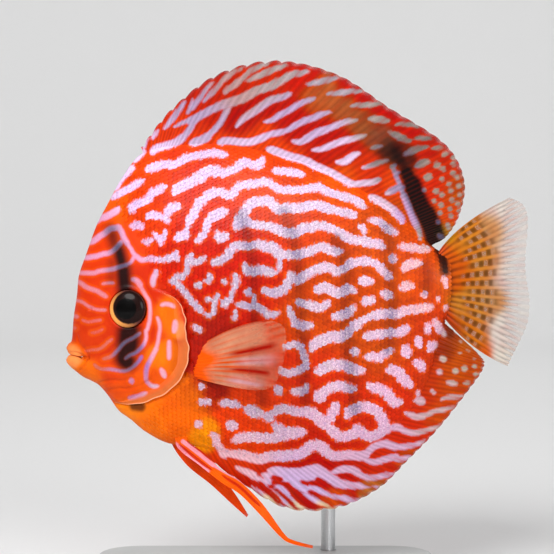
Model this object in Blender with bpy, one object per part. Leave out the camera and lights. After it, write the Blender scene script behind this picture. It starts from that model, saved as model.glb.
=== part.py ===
"""A discus fish as a still, life-size museum model, held over a flat base by a post and an arm."""

import bmesh
import bpy
from math import cos, pi, radians, sin
from mathutils import Matrix, Vector
from mathutils.bvhtree import BVHTree

MM = 0.001
MERGE_WITHIN = 0.001
LEVEL_WITHIN = 1e-6
SHARP_ANGLE = radians(35.0)

# All sizes are in millimetres. The fish swims toward -X and shows its left flank to -Y.
# Its own heights are counted from a level line through the middle of the body.
FISH_LEVEL = 104.0
GAP = 0.3

# Sections of the body from the lips to the root of the tail, closest together in the head.
# Each row: back x and z, belly x and z, x and z of the widest place, half the width there,
# and how lean the section is above and below it. 1 is a plain ellipse, and more is leaner.
SECTIONS = (
    (-66.0, -22.3, -66.3, -28.3, -63.3, -26.3, 2.8, 1.00, 1.00),
    (-64.7, -21.3, -64.7, -30.3, -60.3, -26.7, 4.2, 1.05, 1.00),
    (-64.7, -17.7, -62.7, -32.0, -59.0, -26.3, 5.2, 1.10, 1.00),
    (-64.0, -12.7, -60.3, -33.8, -57.3, -25.0, 6.4, 1.15, 1.05),
    (-63.0, -6.0, -57.7, -35.0, -55.0, -22.7, 7.6, 1.20, 1.10),
    (-62.3, 0.7, -55.3, -36.5, -52.3, -20.3, 8.6, 1.25, 1.10),
    (-59.7, 8.3, -52.3, -40.0, -48.3, -18.3, 9.6, 1.30, 1.15),
    (-56.4, 17.4, -49.0, -44.7, -43.0, -16.7, 10.6, 1.40, 1.20),
    (-53.0, 24.0, -45.0, -47.7, -37.7, -15.0, 11.5, 1.45, 1.25),
    (-47.9, 33.2, -39.7, -52.0, -31.0, -13.7, 12.3, 1.50, 1.30),
    (-41.2, 41.4, -32.3, -55.7, -23.3, -12.3, 12.9, 1.60, 1.35),
    (-30.0, 45.3, -23.3, -56.7, -14.3, -10.7, 13.0, 1.70, 1.45),
    (-14.3, 45.7, -11.7, -59.7, -3.3, -9.3, 12.7, 1.70, 1.55),
    (1.7, 42.8, 3.3, -63.3, 8.3, -8.0, 12.0, 1.70, 1.60),
    (17.0, 38.0, 19.0, -63.0, 20.0, -7.3, 10.8, 1.65, 1.60),
    (31.7, 30.5, 33.7, -58.3, 31.7, -6.7, 9.3, 1.55, 1.55),
    (43.0, 23.0, 45.7, -49.0, 42.3, -5.3, 7.5, 1.45, 1.45),
    (51.0, 15.7, 53.7, -36.7, 51.7, -4.3, 5.7, 1.35, 1.35),
    (56.3, 10.3, 57.7, -23.3, 57.7, -3.3, 4.1, 1.25, 1.25),
    (61.0, 7.4, 61.2, -11.6, 61.7, -2.3, 2.7, 1.20, 1.20),
)
BODY_RINGS = 49
BODY_ROUND = 28

# Lines that part the body, seen from the side as x and z. The zones between them run out past the
# body in front, above, below and behind, and right across it.
FRONT_X = -90.0
OVER_HEAD_Z = 60.0
OVER_BODY_Z = 80.0
BEHIND_X = 80.0
ZONE_REACH_Y = 30.0
THROAT = (-57.0, -48.0)
NAPE_X = -55.0
BREAST_STARTS_AT = 7
CORNER_LIMIT = 0.4
GILL_EDGE = (
    (-36.0, -4.0),
    (-30.0, -6.5),
    (-27.5, -9.5),
    (-26.5, -13.5),
    (-26.3, -17.5),
    (-25.5, -21.5),
    (-25.5, -25.5),
    (-26.5, -30.5),
    (-30.5, -35.5),
    (-35.5, -39.0),
    (-41.0, -41.0),
    (-46.5, -41.8),
    (-51.0, -41.5),
)
CHEEK_EDGE = (
    (-35.2, -9.0),
    (-34.3, -15.5),
    (-35.0, -21.5),
    (-37.5, -28.0),
    (-40.5, -33.5),
    (-44.5, -37.5),
    (-48.5, -39.5),
)
NAPE_LINE = ((-55.0, 42.3), (-49.3, 32.7), (-41.7, 12.3))
BREAST_LINE = ((-21.7, -36.0), (-20.0, -57.0), (-20.0, -80.0))
TAIL_LINE_X = 54.0
UPPER_JAW = (
    (-72.0, -17.5),
    (-63.5, -17.0),
    (-60.0, -21.0),
    (-57.5, -24.5),
    (-59.3, -26.7),
    (-66.0, -25.4),
    (-72.0, -25.4),
)
LOWER_JAW = (
    (-59.3, -27.0),
    (-55.0, -29.7),
    (-53.7, -33.0),
    (-56.0, -40.0),
    (-72.0, -40.0),
    (-72.0, -25.4),
    (-66.0, -25.4),
)
MOUTH = (
    (-59.6, -26.8),
    (-64.2, -24.7),
    (-66.3, -24.3),
    (-72.0, -24.1),
    (-72.0, -26.7),
    (-66.3, -26.5),
    (-64.2, -26.0),
)
GILL_DEPTH_Y = 5.0
GILL_RISE = 0.9
GILL_RISE_FROM_X = -37.0
GILL_RISE_TO_X = -27.0

# The unpaired fins. A ray runs from each point of the root line, which lies inside the body,
# to the same share of the margin. Each list goes from the front of its fin to the rear.
DORSAL_ROOT = (
    (-39.7, 39.0),
    (-35.0, 41.3),
    (-28.3, 42.7),
    (-16.3, 42.3),
    (-1.7, 40.3),
    (13.7, 35.7),
    (30.3, 27.7),
    (41.0, 20.3),
    (47.3, 14.3),
    (51.7, 10.3),
    (53.0, 9.0),
)
DORSAL_MARGIN = (
    (-41.3, 43.3),
    (-31.0, 56.3),
    (-15.7, 67.7),
    (3.7, 72.2),
    (24.3, 67.5),
    (41.7, 56.3),
    (60.0, 44.3),
    (66.5, 32.3),
    (65.0, 21.0),
    (60.3, 13.3),
    (56.3, 11.7),
)
ANAL_ROOT = (
    (-24.0, -54.0),
    (-16.7, -55.3),
    (-8.3, -58.3),
    (3.7, -60.7),
    (19.0, -60.0),
    (32.3, -55.7),
    (42.7, -47.7),
    (50.3, -36.3),
    (54.3, -25.0),
    (56.3, -17.7),
    (57.7, -13.3),
)
ANAL_MARGIN = (
    (-23.0, -57.6),
    (-8.6, -68.2),
    (6.7, -77.0),
    (23.3, -77.2),
    (37.7, -70.7),
    (47.7, -61.0),
    (57.3, -51.0),
    (67.0, -39.0),
    (73.0, -30.0),
    (70.9, -25.4),
    (63.0, -18.3),
)
CAUDAL_ROOT = ((58.6, 9.4), (59.8, 5.0), (60.0, -2.7), (59.7, -8.7), (58.7, -12.3))
CAUDAL_MIDDLE = ((67.7, 18.3), (73.7, 10.3), (74.3, -2.0), (73.7, -13.0), (68.8, -22.6))
CAUDAL_MARGIN = (
    (81.7, 26.5),
    (86.0, 24.3),
    (87.7, 19.7),
    (87.2, 10.7),
    (86.7, 4.0),
    (87.3, -2.0),
    (88.2, -7.7),
    (87.7, -15.0),
    (85.3, -21.0),
    (82.7, -26.0),
    (81.0, -29.7),
)
DORSAL_SPINES_END = 0.30
ANAL_SPINES_END = 0.30
FIN_ROOT_HALF = 1.1
CAUDAL_ROOT_HALF = 1.2
FIN_MARGIN_HALF = 0.27
FIN_TAPER = 1.3
SPINY_COLUMNS = 10
SOFT_COLUMNS = 22
FIN_ROWS = 4
# A dorsal or anal margin is about this long, which turns the gap between two parts into a share.
MARGIN_LENGTH = 100.0

# The pectoral fin in its own plane: how far it reaches back from its hinge, and how high.
PECTORAL_ROOT = ((-4.0, 4.5), (-4.0, 1.5), (-4.0, -1.5), (-4.0, -4.5))
PECTORAL_MIDDLE = ((9.5, 11.3), (14.0, 5.5), (14.0, -1.0), (9.0, -6.8))
PECTORAL_MARGIN = (
    (23.5, 14.6),
    (28.0, 14.0),
    (30.5, 11.5),
    (30.8, 6.5),
    (30.0, 1.5),
    (28.0, -3.5),
    (25.0, -6.8),
    (20.0, -7.8),
)
PECTORAL_HINGE_X = -19.7
PECTORAL_HINGE_Z = -28.4
PECTORAL_HINGE_Y = 11.6
PECTORAL_SWING = radians(30.0)
PECTORAL_ROOT_HALF = 1.5
PECTORAL_MARGIN_HALF = 0.26
PECTORAL_TAPER = 3
PECTORAL_COLUMNS = 12
PECTORAL_ROWS = 6

# The pelvic fins are narrow straps. The left one ends in a long filament.
PELVIC_LEFT_LOWER = (
    (-29.5, -50.5),
    (-29.0, -56.5),
    (-21.7, -62.3),
    (-14.3, -68.0),
    (-8.3, -71.8),
    (-1.7, -78.3),
    (5.0, -85.5),
    (8.7, -87.8),
    (15.7, -89.4),
)
PELVIC_LEFT_UPPER = (
    (-25.5, -50.5),
    (-25.5, -54.5),
    (-20.5, -58.0),
    (-14.5, -63.7),
    (-8.0, -67.7),
    (-0.7, -75.0),
    (6.3, -84.5),
    (9.3, -86.7),
    (15.9, -88.5),
)
PELVIC_RIGHT_LOWER = (
    (-31.5, -51.5),
    (-31.0, -56.3),
    (-26.0, -63.3),
    (-18.3, -69.7),
    (-11.7, -76.0),
    (-6.2, -81.0),
)
PELVIC_RIGHT_UPPER = (
    (-26.5, -50.5),
    (-26.3, -55.0),
    (-20.5, -61.5),
    (-14.3, -67.5),
    (-10.0, -73.3),
    (-5.7, -80.2),
)
PELVIC_ROOT_Y = 2.5
PELVIC_TIP_Y = 6.0
PELVIC_ROOT_HALF = 0.6
PELVIC_TIP_HALF = 0.3
PELVIC_COLUMNS = 18
PELVIC_ROWS = 2

# The eye is a lens whose rim lies in the skin of the cheek.
EYE_X = -44.8
EYE_Z = -10.4
EYE_RADIUS = 6.1
EYE_DOME = 2.2
EYE_DEPTH = 4.5
EYE_SEGMENTS = 20
EYE_RINGS = 9
BESIDE_FISH_Y = 60.0

# The stand: a flat base, a post behind the fish, and an arm from the post into its far flank.
BASE_LENGTH = 116.0
BASE_WIDTH = 76.0
BASE_HEIGHT = 8.0
BASE_CORNER = 14.0
BASE_EDGE = 1.2
POST_X = 22.0
POST_Y = 29.0
POST_RADIUS = 2.5
POST_FOOT_DEPTH = 5.0
ARM_Z = 97.0
ARM_RADIUS = 2.0
ARM_IN_FISH = 6.5
ROD_EDGE = 0.4
CLAMP_SIDE = 10.0
CLAMP_HEIGHT = 16.0
CLAMP_OVER_ARM = 5.0
CLAMP_EDGE = 1.2
CLAMP_WALL = 1.5
HOLE_OVERRUN = 5.0
ROUND_SEGMENTS = 20
CORNER_SEGMENTS = 6
EDGE_SEGMENTS = 2


def clear_scene():
    for thing in list(bpy.data.objects):
        bpy.data.objects.remove(thing, do_unlink=True)


def linear(hex_colour):
    """The linear value of an sRGB colour written as six hex digits."""
    shares = [int(hex_colour[i:i + 2], 16) / 255 for i in (0, 2, 4)]
    return [s / 12.92 if s <= 0.04045 else ((s + 0.055) / 1.055) ** 2.4 for s in shares] + [1.0]


def paint(thing, hex_colour, roughness, metallic=0.0):
    material = bpy.data.materials.new(thing.name)
    material.use_nodes = True
    shader = material.node_tree.nodes["Principled BSDF"]
    shader.inputs["Base Color"].default_value = linear(hex_colour)
    shader.inputs["Roughness"].default_value = roughness
    shader.inputs["Metallic"].default_value = metallic
    thing.data.materials.clear()
    thing.data.materials.append(material)


def as_object(name, bm, smooth=True):
    """Makes an object of a bmesh whose faces are turned outwards first."""
    bmesh.ops.recalc_face_normals(bm, faces=bm.faces)
    mesh = bpy.data.meshes.new(name)
    bm.to_mesh(mesh)
    bm.free()
    if smooth:
        mesh.shade_smooth()
        mesh.set_sharp_from_angle(angle=SHARP_ANGLE)
    thing = bpy.data.objects.new(name, mesh)
    bpy.context.scene.collection.objects.link(thing)
    return thing


def as_cutter(name, bm):
    """A guide that shapes other pieces and isn't part of the model."""
    cutter = as_object(name, bm, smooth=False)
    cutter.hide_render = True
    cutter.display_type = "WIRE"
    return cutter


def cut(target, cutter, operation="DIFFERENCE"):
    trim = target.modifiers.new(cutter.name, "BOOLEAN")
    trim.operation = operation
    trim.solver = "EXACT"
    trim.object = cutter


def smooth_step(low, high, value):
    share = min(max((value - low) / (high - low), 0.0), 1.0)
    return share * share * (3.0 - 2.0 * share)


def along(rows, share):
    """The row at a share from 0 to 1 of the way, on a smooth curve through every row."""
    place = min(max(share, 0.0), 1.0) * (len(rows) - 1)
    i = min(int(place), len(rows) - 2)
    f = place - i
    row = []
    for a, b, c, d in zip(rows[max(i - 1, 0)], rows[i], rows[i + 1], rows[min(i + 2, len(rows) - 1)]):
        bend = (2 * a - 5 * b + 4 * c - d) * f ** 2 + (3 * b - a - 3 * c + d) * f ** 3
        row.append(b + 0.5 * ((c - a) * f + bend))
    return row


def body_point(share, turn):
    """A point of the skin. Share goes from lips to tail, and turn from the back right round."""
    back_x, back_z, belly_x, belly_z, side_x, side_z, half, above, below = along(SECTIONS, share)
    upper = cos(turn) > 0.0
    end_x, end_z = (back_x, back_z) if upper else (belly_x, belly_z)
    reach = abs(cos(turn))
    thick = half * abs(sin(turn)) ** (above if upper else below)
    side = -1.0 if turn < pi else 1.0
    x = side_x + (end_x - side_x) * reach
    z = side_z + (end_z - side_z) * reach + FISH_LEVEL
    return x, side * thick, z


def bent_grid(columns, rows, place):
    """A grid whose corners go to place(u, v), where u and v run from 0 to 1 along its sides."""
    bm = bmesh.new()
    bmesh.ops.create_grid(bm, x_segments=columns, y_segments=rows, size=1.0)
    for corner in bm.verts:
        u = (corner.co.x + 1.0) / 2.0
        v = (corner.co.y + 1.0) / 2.0
        corner.co = Vector(place(u, v)) * MM
    return bm


def body_bmesh():
    """The whole body: a grid bent round into a tube, with its two ends closed."""
    bm = bent_grid(BODY_RINGS - 1, BODY_ROUND, lambda u, v: body_point(u, v * 2 * pi))
    bmesh.ops.remove_doubles(bm, verts=bm.verts, dist=MERGE_WITHIN * MM)
    rim = [edge for edge in bm.edges if edge.is_boundary]
    ends = bmesh.ops.holes_fill(bm, edges=rim, sides=0)["faces"]
    bmesh.ops.poke(bm, faces=ends)
    bmesh.ops.recalc_face_normals(bm, faces=bm.faces)
    return bm


def swell(bm, amount):
    """Moves each corner out along its normal by amount(x) millimetres, with x in millimetres."""
    bm.normal_update()
    steps = [(corner, corner.normal * amount(corner.co.x / MM) * MM) for corner in bm.verts]
    for corner, step in steps:
        corner.co += step
    return bm


def offset_outline(points, distance):
    """The outline moved outwards by a distance, or inwards where the distance is negative."""
    count = len(points)
    area = sum(points[i - 1][0] * points[i][1] - points[i][0] * points[i - 1][1] for i in range(count))
    turn = 1.0 if area > 0 else -1.0
    moved = []
    for i in range(count):
        here = Vector(points[i])
        arrive = (here - Vector(points[i - 1])).normalized()
        leave = (Vector(points[(i + 1) % count]) - here).normalized()
        out = (Vector((arrive.y, -arrive.x)) + Vector((leave.y, -leave.x))).normalized() * turn
        stretch = max(out.dot(Vector((arrive.y, -arrive.x)) * turn), CORNER_LIMIT)
        moved.append(here + out * (distance / stretch))
    return moved


def prism_bmesh(points, low_y, high_y):
    """A side-view outline given a depth across the fish."""
    bm = bmesh.new()
    corners = [bm.verts.new(Vector((x, low_y, z + FISH_LEVEL)) * MM) for x, z in points]
    face = bm.faces.new(corners)
    block = bmesh.ops.extrude_face_region(bm, geom=[face])["geom"]
    lifted = [part for part in block if isinstance(part, bmesh.types.BMVert)]
    bmesh.ops.translate(bm, verts=lifted, vec=Vector((0.0, (high_y - low_y) * MM, 0.0)))
    return bm


def zone(name, points, grow=-GAP / 2, low_y=-ZONE_REACH_Y, high_y=ZONE_REACH_Y):
    return as_cutter("cutter_" + name, prism_bmesh(offset_outline(points, grow), low_y, high_y))


def body_piece(name, zone_cutter, hex_colour, roughness=0.45):
    """The stretch of the body that lies in one zone."""
    piece = as_object(name, body_bmesh())
    cut(piece, zone_cutter, "INTERSECT")
    paint(piece, hex_colour, roughness)
    return piece


def gill_outline():
    return GILL_EDGE[:-1] + CHEEK_EDGE[::-1]


def gill_cover(name, side):
    """A gill cover: a plate over the side of the head that rises a little toward its rear edge."""
    def rise(x):
        return GILL_RISE * smooth_step(GILL_RISE_FROM_X, GILL_RISE_TO_X, x)
    cover = as_object(name, swell(body_bmesh(), rise))
    inner = GILL_DEPTH_Y + GAP / 2
    low_y, high_y = (-ZONE_REACH_Y, -inner) if side < 0 else (inner, ZONE_REACH_Y)
    cut(cover, zone("of_" + name, gill_outline(), -GAP / 2, low_y, high_y), "INTERSECT")
    paint(cover, "e0562a", 0.4)
    return cover


def gill_recess(side):
    """The room that a gill cover takes from the side of the head."""
    inner = GILL_DEPTH_Y - GAP / 2
    low_y, high_y = (-ZONE_REACH_Y, -inner) if side < 0 else (inner, ZONE_REACH_Y)
    name = "gill_recess_left" if side < 0 else "gill_recess_right"
    return zone(name, gill_outline(), GAP / 2, low_y, high_y)


def skin_place(tree, x, z, side):
    """Where a level line across the fish meets its flank, and the way the skin faces there."""
    start = Vector((x, side * BESIDE_FISH_Y, z + FISH_LEVEL)) * MM
    place, facing, _, _ = tree.ray_cast(start, Vector((0.0, -side, 0.0)))
    return place, facing


def eye_bmesh(place, facing, grow=0.0):
    """A lens with a flat front dome and a deeper back, with its axis along the facing."""
    bm = bmesh.new()
    bmesh.ops.create_uvsphere(bm, u_segments=EYE_SEGMENTS, v_segments=EYE_RINGS, radius=1.0)
    for corner in bm.verts:
        depth = (EYE_DOME if corner.co.z > 0 else EYE_DEPTH) + grow
        corner.co.x *= EYE_RADIUS + grow
        corner.co.y *= EYE_RADIUS + grow
        corner.co.z *= depth
    turn = facing.to_track_quat("Z", "Y").to_matrix().to_4x4()
    to_place = Matrix.Translation(place) @ turn @ Matrix.Scale(MM, 4)
    bmesh.ops.transform(bm, matrix=to_place, verts=bm.verts)
    return bm


def make_head_and_body():
    body = body_bmesh()
    tree = BVHTree.FromBMesh(body)
    body.free()
    head_outline = ((FRONT_X, OVER_HEAD_Z),) + NAPE_LINE + GILL_EDGE + (THROAT, (FRONT_X, THROAT[1]))
    upper_gill = GILL_EDGE[:BREAST_STARTS_AT + 1]
    lower_gill = GILL_EDGE[BREAST_STARTS_AT:]
    tail_low = (TAIL_LINE_X, -OVER_BODY_Z)
    tail_high = (TAIL_LINE_X, OVER_BODY_Z)
    breast_outline = lower_gill + (THROAT, (THROAT[0], -OVER_BODY_Z)) + BREAST_LINE[::-1]
    trunk_outline = NAPE_LINE + upper_gill + BREAST_LINE + (tail_low, tail_high, (NAPE_X, OVER_BODY_Z))
    tail_outline = (tail_low, (BEHIND_X, -OVER_BODY_Z), (BEHIND_X, OVER_BODY_Z), tail_high)
    mouth = as_cutter("cutter_mouth", prism_bmesh(MOUTH, -ZONE_REACH_Y, ZONE_REACH_Y))

    upper_jaw = body_piece("upper_jaw", zone("upper_jaw", UPPER_JAW), "ef5a22")
    lower_jaw = body_piece("lower_jaw", zone("lower_jaw", LOWER_JAW), "f28a3c")
    head = body_piece("head", zone("head", head_outline), "df3d14")
    cut(upper_jaw, mouth)
    cut(lower_jaw, mouth)
    cut(head, mouth)
    cut(head, zone("upper_jaw_recess", UPPER_JAW, GAP / 2))
    cut(head, zone("lower_jaw_recess", LOWER_JAW, GAP / 2))
    for side in (-1.0, 1.0):
        hand = "left" if side < 0 else "right"
        cut(head, gill_recess(side))
        gill_cover("gill_cover_" + hand, side)
        place, facing = skin_place(tree, EYE_X, EYE_Z, side)
        eye = as_object("eye_" + hand, eye_bmesh(place, facing))
        paint(eye, "14100e", 0.08)
        cut(head, as_cutter("cutter_eye_" + hand, eye_bmesh(place, facing, GAP)))

    body_piece("breast", zone("breast", breast_outline), "ee7a26")
    trunk = body_piece("trunk", zone("trunk", trunk_outline), "d9431c")
    body_piece("tail_root", zone("tail_root", tail_outline), "cc4a22")
    return tree, trunk


def on_rails(rails, u, v):
    """The point at u along the rails and v across them, from the first rail to the last."""
    points = [along(rail, u) for rail in rails]
    if len(points) == 2:
        weights = (1.0 - v, v)
    else:
        weights = ((1 - v) * (1 - 2 * v), 4 * v * (1 - v), v * (2 * v - 1))
    return [sum(w * p[i] for w, p in zip(weights, points)) for i in (0, 1)]


def plate_bmesh(rails, columns, rows, half_at, pose, span=(0.0, 1.0)):
    """A fin: a sheet between rails that is given its thickness, then set in its place.
    half_at(u, v) is half its thickness, and pose(x, y, z) moves a point to the fish."""
    def sheet(u, v):
        x, z = on_rails(rails, span[0] + (span[1] - span[0]) * u, v)
        return x, -half_at(u, v), z

    bm = bent_grid(columns, rows, sheet)
    back = bmesh.ops.extrude_face_region(bm, geom=bm.faces[:])["geom"]
    for part in back:
        if isinstance(part, bmesh.types.BMVert):
            part.co.y = -part.co.y
    for corner in bm.verts:
        corner.co = Vector(pose(*(corner.co / MM))) * MM
    return bm


def in_midplane(x, y, z):
    return x, y, z + FISH_LEVEL


def middle_fin(name, rails, root_half, columns, span, hex_colour, body_cutter):
    def half_at(u, v):
        return FIN_MARGIN_HALF + (root_half - FIN_MARGIN_HALF) * (1.0 - v) ** FIN_TAPER

    fin = as_object(name, plate_bmesh(rails, columns, FIN_ROWS, half_at, in_midplane, span))
    paint(fin, hex_colour, 0.4)
    cut(fin, body_cutter)


def make_middle_fins(body_cutter):
    dorsal = (DORSAL_ROOT, DORSAL_MARGIN)
    anal = (ANAL_ROOT, ANAL_MARGIN)
    caudal = (CAUDAL_ROOT, CAUDAL_MIDDLE, CAUDAL_MARGIN)
    part = 0.5 * GAP / MARGIN_LENGTH
    dorsal_spines = (0.0, DORSAL_SPINES_END - part)
    dorsal_rays = (DORSAL_SPINES_END + part, 1.0)
    anal_spines = (0.0, ANAL_SPINES_END - part)
    anal_rays = (ANAL_SPINES_END + part, 1.0)
    plans = (
        ("dorsal_fin_spiny", dorsal, FIN_ROOT_HALF, SPINY_COLUMNS, dorsal_spines, "c8452c"),
        ("dorsal_fin_soft", dorsal, FIN_ROOT_HALF, SOFT_COLUMNS, dorsal_rays, "b8402c"),
        ("anal_fin_spiny", anal, FIN_ROOT_HALF, SPINY_COLUMNS, anal_spines, "cf4428"),
        ("anal_fin_soft", anal, FIN_ROOT_HALF, SOFT_COLUMNS, anal_rays, "bf4a2c"),
        ("caudal_fin", caudal, CAUDAL_ROOT_HALF, SOFT_COLUMNS, (0.0, 1.0), "b98a6a"),
    )
    for name, rails, root_half, columns, span, hex_colour in plans:
        middle_fin(name, rails, root_half, columns, span, hex_colour, body_cutter)


def pectoral_fin(name, side, body_cutter):
    """A fan on the flank behind the gill cover, swung out from the body."""
    def half_at(u, v):
        swell = PECTORAL_ROOT_HALF - PECTORAL_MARGIN_HALF
        return PECTORAL_MARGIN_HALF + swell * (1.0 - v) ** PECTORAL_TAPER

    def pose(reach, lean, rise):
        out = PECTORAL_HINGE_Y + reach * sin(PECTORAL_SWING) + lean * cos(PECTORAL_SWING)
        x = PECTORAL_HINGE_X + reach * cos(PECTORAL_SWING) - lean * sin(PECTORAL_SWING)
        return x, side * out, PECTORAL_HINGE_Z + rise + FISH_LEVEL

    rails = (PECTORAL_ROOT, PECTORAL_MIDDLE, PECTORAL_MARGIN)
    fin = as_object(name, plate_bmesh(rails, PECTORAL_COLUMNS, PECTORAL_ROWS, half_at, pose))
    paint(fin, "d9825c", 0.4)
    cut(fin, body_cutter)


def pelvic_fin(name, side, lower, upper, body_cutter):
    """A strap under the breast that bends outwards toward its tip."""
    root_z = lower[0][1]
    tip_z = lower[-1][1]

    def half_at(u, v):
        return PELVIC_ROOT_HALF + (PELVIC_TIP_HALF - PELVIC_ROOT_HALF) * u

    def pose(x, y, z):
        share = smooth_step(root_z, tip_z, z)
        out = PELVIC_ROOT_Y + (PELVIC_TIP_Y - PELVIC_ROOT_Y) * share
        return x, side * out + y, z + FISH_LEVEL

    fin = as_object(name, plate_bmesh((lower, upper), PELVIC_COLUMNS, PELVIC_ROWS, half_at, pose))
    paint(fin, "d8502c", 0.4)
    cut(fin, body_cutter)


def bevel(bm, edges, offset, segments):
    bmesh.ops.bevel(
        bm,
        geom=edges,
        offset=offset,
        segments=segments,
        profile=0.5,
        affect="EDGES",
        material=-1,
    )


def rod_bmesh(radius, start, end, grow=0.0, edge=0.0):
    """A round rod between two points, with its end edges eased."""
    way = end - start
    bm = bmesh.new()
    bmesh.ops.create_cone(
        bm,
        cap_ends=True,
        segments=ROUND_SEGMENTS,
        radius1=radius + grow,
        radius2=radius + grow,
        depth=way.length,
    )
    if edge:
        rims = [e for e in bm.edges if abs(e.verts[0].co.z - e.verts[1].co.z) < LEVEL_WITHIN]
        bevel(bm, rims, edge, EDGE_SEGMENTS)
    turn = way.to_track_quat("Z", "Y").to_matrix().to_4x4()
    to_place = Matrix.Scale(MM, 4) @ Matrix.Translation((start + end) / 2) @ turn
    bmesh.ops.transform(bm, matrix=to_place, verts=bm.verts)
    return bm


def block_bmesh(size, middle, upright_edge, top_edge):
    """A block with rounded upright corners and an eased top."""
    bm = bmesh.new()
    bmesh.ops.create_cube(bm, size=1.0)
    bmesh.ops.scale(bm, vec=Vector(size), verts=bm.verts)
    upright = [e for e in bm.edges if abs(e.verts[0].co.z - e.verts[1].co.z) > LEVEL_WITHIN]
    bevel(bm, upright, upright_edge, CORNER_SEGMENTS)
    top = max(corner.co.z for corner in bm.verts)
    rim = [e for e in bm.edges if all(abs(corner.co.z - top) < LEVEL_WITHIN for corner in e.verts)]
    bevel(bm, rim, top_edge, EDGE_SEGMENTS)
    place = Matrix.Scale(MM, 4) @ Matrix.Translation(Vector(middle))
    bmesh.ops.transform(bm, matrix=place, verts=bm.verts)
    return bm


def make_base():
    size = (BASE_LENGTH, BASE_WIDTH, BASE_HEIGHT)
    block = block_bmesh(size, (0.0, 0.0, BASE_HEIGHT / 2), BASE_CORNER, BASE_EDGE)
    base = as_object("stand_base", block)
    paint(base, "b9bbba", 0.5)
    return base


def make_stand(tree, trunk):
    base = make_base()
    foot = Vector((POST_X, POST_Y, BASE_HEIGHT - POST_FOOT_DEPTH))
    top = Vector((POST_X, POST_Y, ARM_Z - ARM_RADIUS - 2 * GAP - CLAMP_WALL))
    above_base = Vector((POST_X, POST_Y, BASE_HEIGHT + HOLE_OVERRUN))
    clamp_low = ARM_Z + CLAMP_OVER_ARM - CLAMP_HEIGHT
    below_clamp = Vector((POST_X, POST_Y, clamp_low - HOLE_OVERRUN))
    lift = Vector((0.0, 0.0, GAP))
    post = as_object("stand_post", rod_bmesh(POST_RADIUS, foot, top, edge=ROD_EDGE))
    paint(post, "a9abad", 0.3, 1.0)
    cut(base, as_cutter("cutter_foot", rod_bmesh(POST_RADIUS, foot - lift, above_base, GAP)))

    clamp_middle = (POST_X, POST_Y, clamp_low + CLAMP_HEIGHT / 2)
    clamp_size = (CLAMP_SIDE, CLAMP_SIDE, CLAMP_HEIGHT)
    clamp = as_object("stand_clamp", block_bmesh(clamp_size, clamp_middle, CLAMP_EDGE, CLAMP_EDGE / 2))
    paint(clamp, "9a9c9e", 0.35, 1.0)
    cut(clamp, as_cutter("cutter_post", rod_bmesh(POST_RADIUS, below_clamp, top + lift, GAP)))

    flank, _ = skin_place(tree, POST_X, ARM_Z - FISH_LEVEL, 1.0)
    tip = Vector((POST_X, flank.y / MM - ARM_IN_FISH, ARM_Z))
    rear = Vector((POST_X, POST_Y + CLAMP_SIDE / 2 - CLAMP_WALL, ARM_Z))
    back = Vector((0.0, GAP, 0.0))
    arm = as_object("stand_arm", rod_bmesh(ARM_RADIUS, tip, rear, edge=ROD_EDGE))
    paint(arm, "a9abad", 0.3, 1.0)
    arm_hole = as_cutter("cutter_arm", rod_bmesh(ARM_RADIUS, tip - back, rear + back, GAP))
    cut(clamp, arm_hole)
    cut(trunk, arm_hole)


def main():
    clear_scene()
    tree, trunk = make_head_and_body()
    body_cutter = as_cutter("cutter_body", swell(body_bmesh(), lambda x: GAP))
    make_middle_fins(body_cutter)
    for side, hand in ((-1.0, "left"), (1.0, "right")):
        pectoral_fin("pectoral_fin_" + hand, side, body_cutter)
    pelvic_fin("pelvic_fin_left", -1.0, PELVIC_LEFT_LOWER, PELVIC_LEFT_UPPER, body_cutter)
    pelvic_fin("pelvic_fin_right", 1.0, PELVIC_RIGHT_LOWER, PELVIC_RIGHT_UPPER, body_cutter)
    make_stand(tree, trunk)


main()
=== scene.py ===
# %% [markdown]
# # A discus fish as a still museum model
# A discus is a tall, thin fish of slow rivers. Aquarium strains like this one are red with pale ribbons.
# This notebook dresses a set of plain solids, the frame, as a painted and varnished life-size model.
# The frame gives every place and size, so the script starts by loading it and keeps its parts for later.

# %% Load the frame
import bmesh
import bpy
import numpy as np
from math import radians
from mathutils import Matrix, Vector
from mathutils.bvhtree import BVHTree


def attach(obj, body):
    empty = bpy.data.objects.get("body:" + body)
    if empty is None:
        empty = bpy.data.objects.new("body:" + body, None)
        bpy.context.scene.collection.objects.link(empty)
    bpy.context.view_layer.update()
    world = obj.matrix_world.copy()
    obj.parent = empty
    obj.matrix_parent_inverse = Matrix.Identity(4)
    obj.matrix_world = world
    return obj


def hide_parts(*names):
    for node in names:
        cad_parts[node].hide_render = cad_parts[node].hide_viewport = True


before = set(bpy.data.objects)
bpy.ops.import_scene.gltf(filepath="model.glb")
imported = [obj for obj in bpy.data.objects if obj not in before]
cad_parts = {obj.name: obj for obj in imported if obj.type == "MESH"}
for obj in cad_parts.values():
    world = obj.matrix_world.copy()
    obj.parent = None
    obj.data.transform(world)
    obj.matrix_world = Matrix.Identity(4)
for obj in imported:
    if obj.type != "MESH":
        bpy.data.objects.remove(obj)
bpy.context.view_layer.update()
MM = 0.001
FISH_LEVEL = 104.0
print("frame nodes:", len(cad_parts))

# %% [markdown]
# ## The camera and the photograph's scale
# A long lens at the height of the fish's middle looks straight along +Y, as a side portrait is taken.
# On the fish's midplane three pixels of the photograph are one millimetre, so a marking that is seen
# at a pixel can be set down in millimetres. The part of the flank that bulges towards the camera looks
# a little larger, which the side chart below puts right.

# %% Camera
CAMERA_X = 4.0
CAMERA_Y = -513.0
LENS = 100.0
PIXELS_PER_MM = 3.0
PIXEL_X0 = 265.0
PIXEL_Y0 = 277.0

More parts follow.
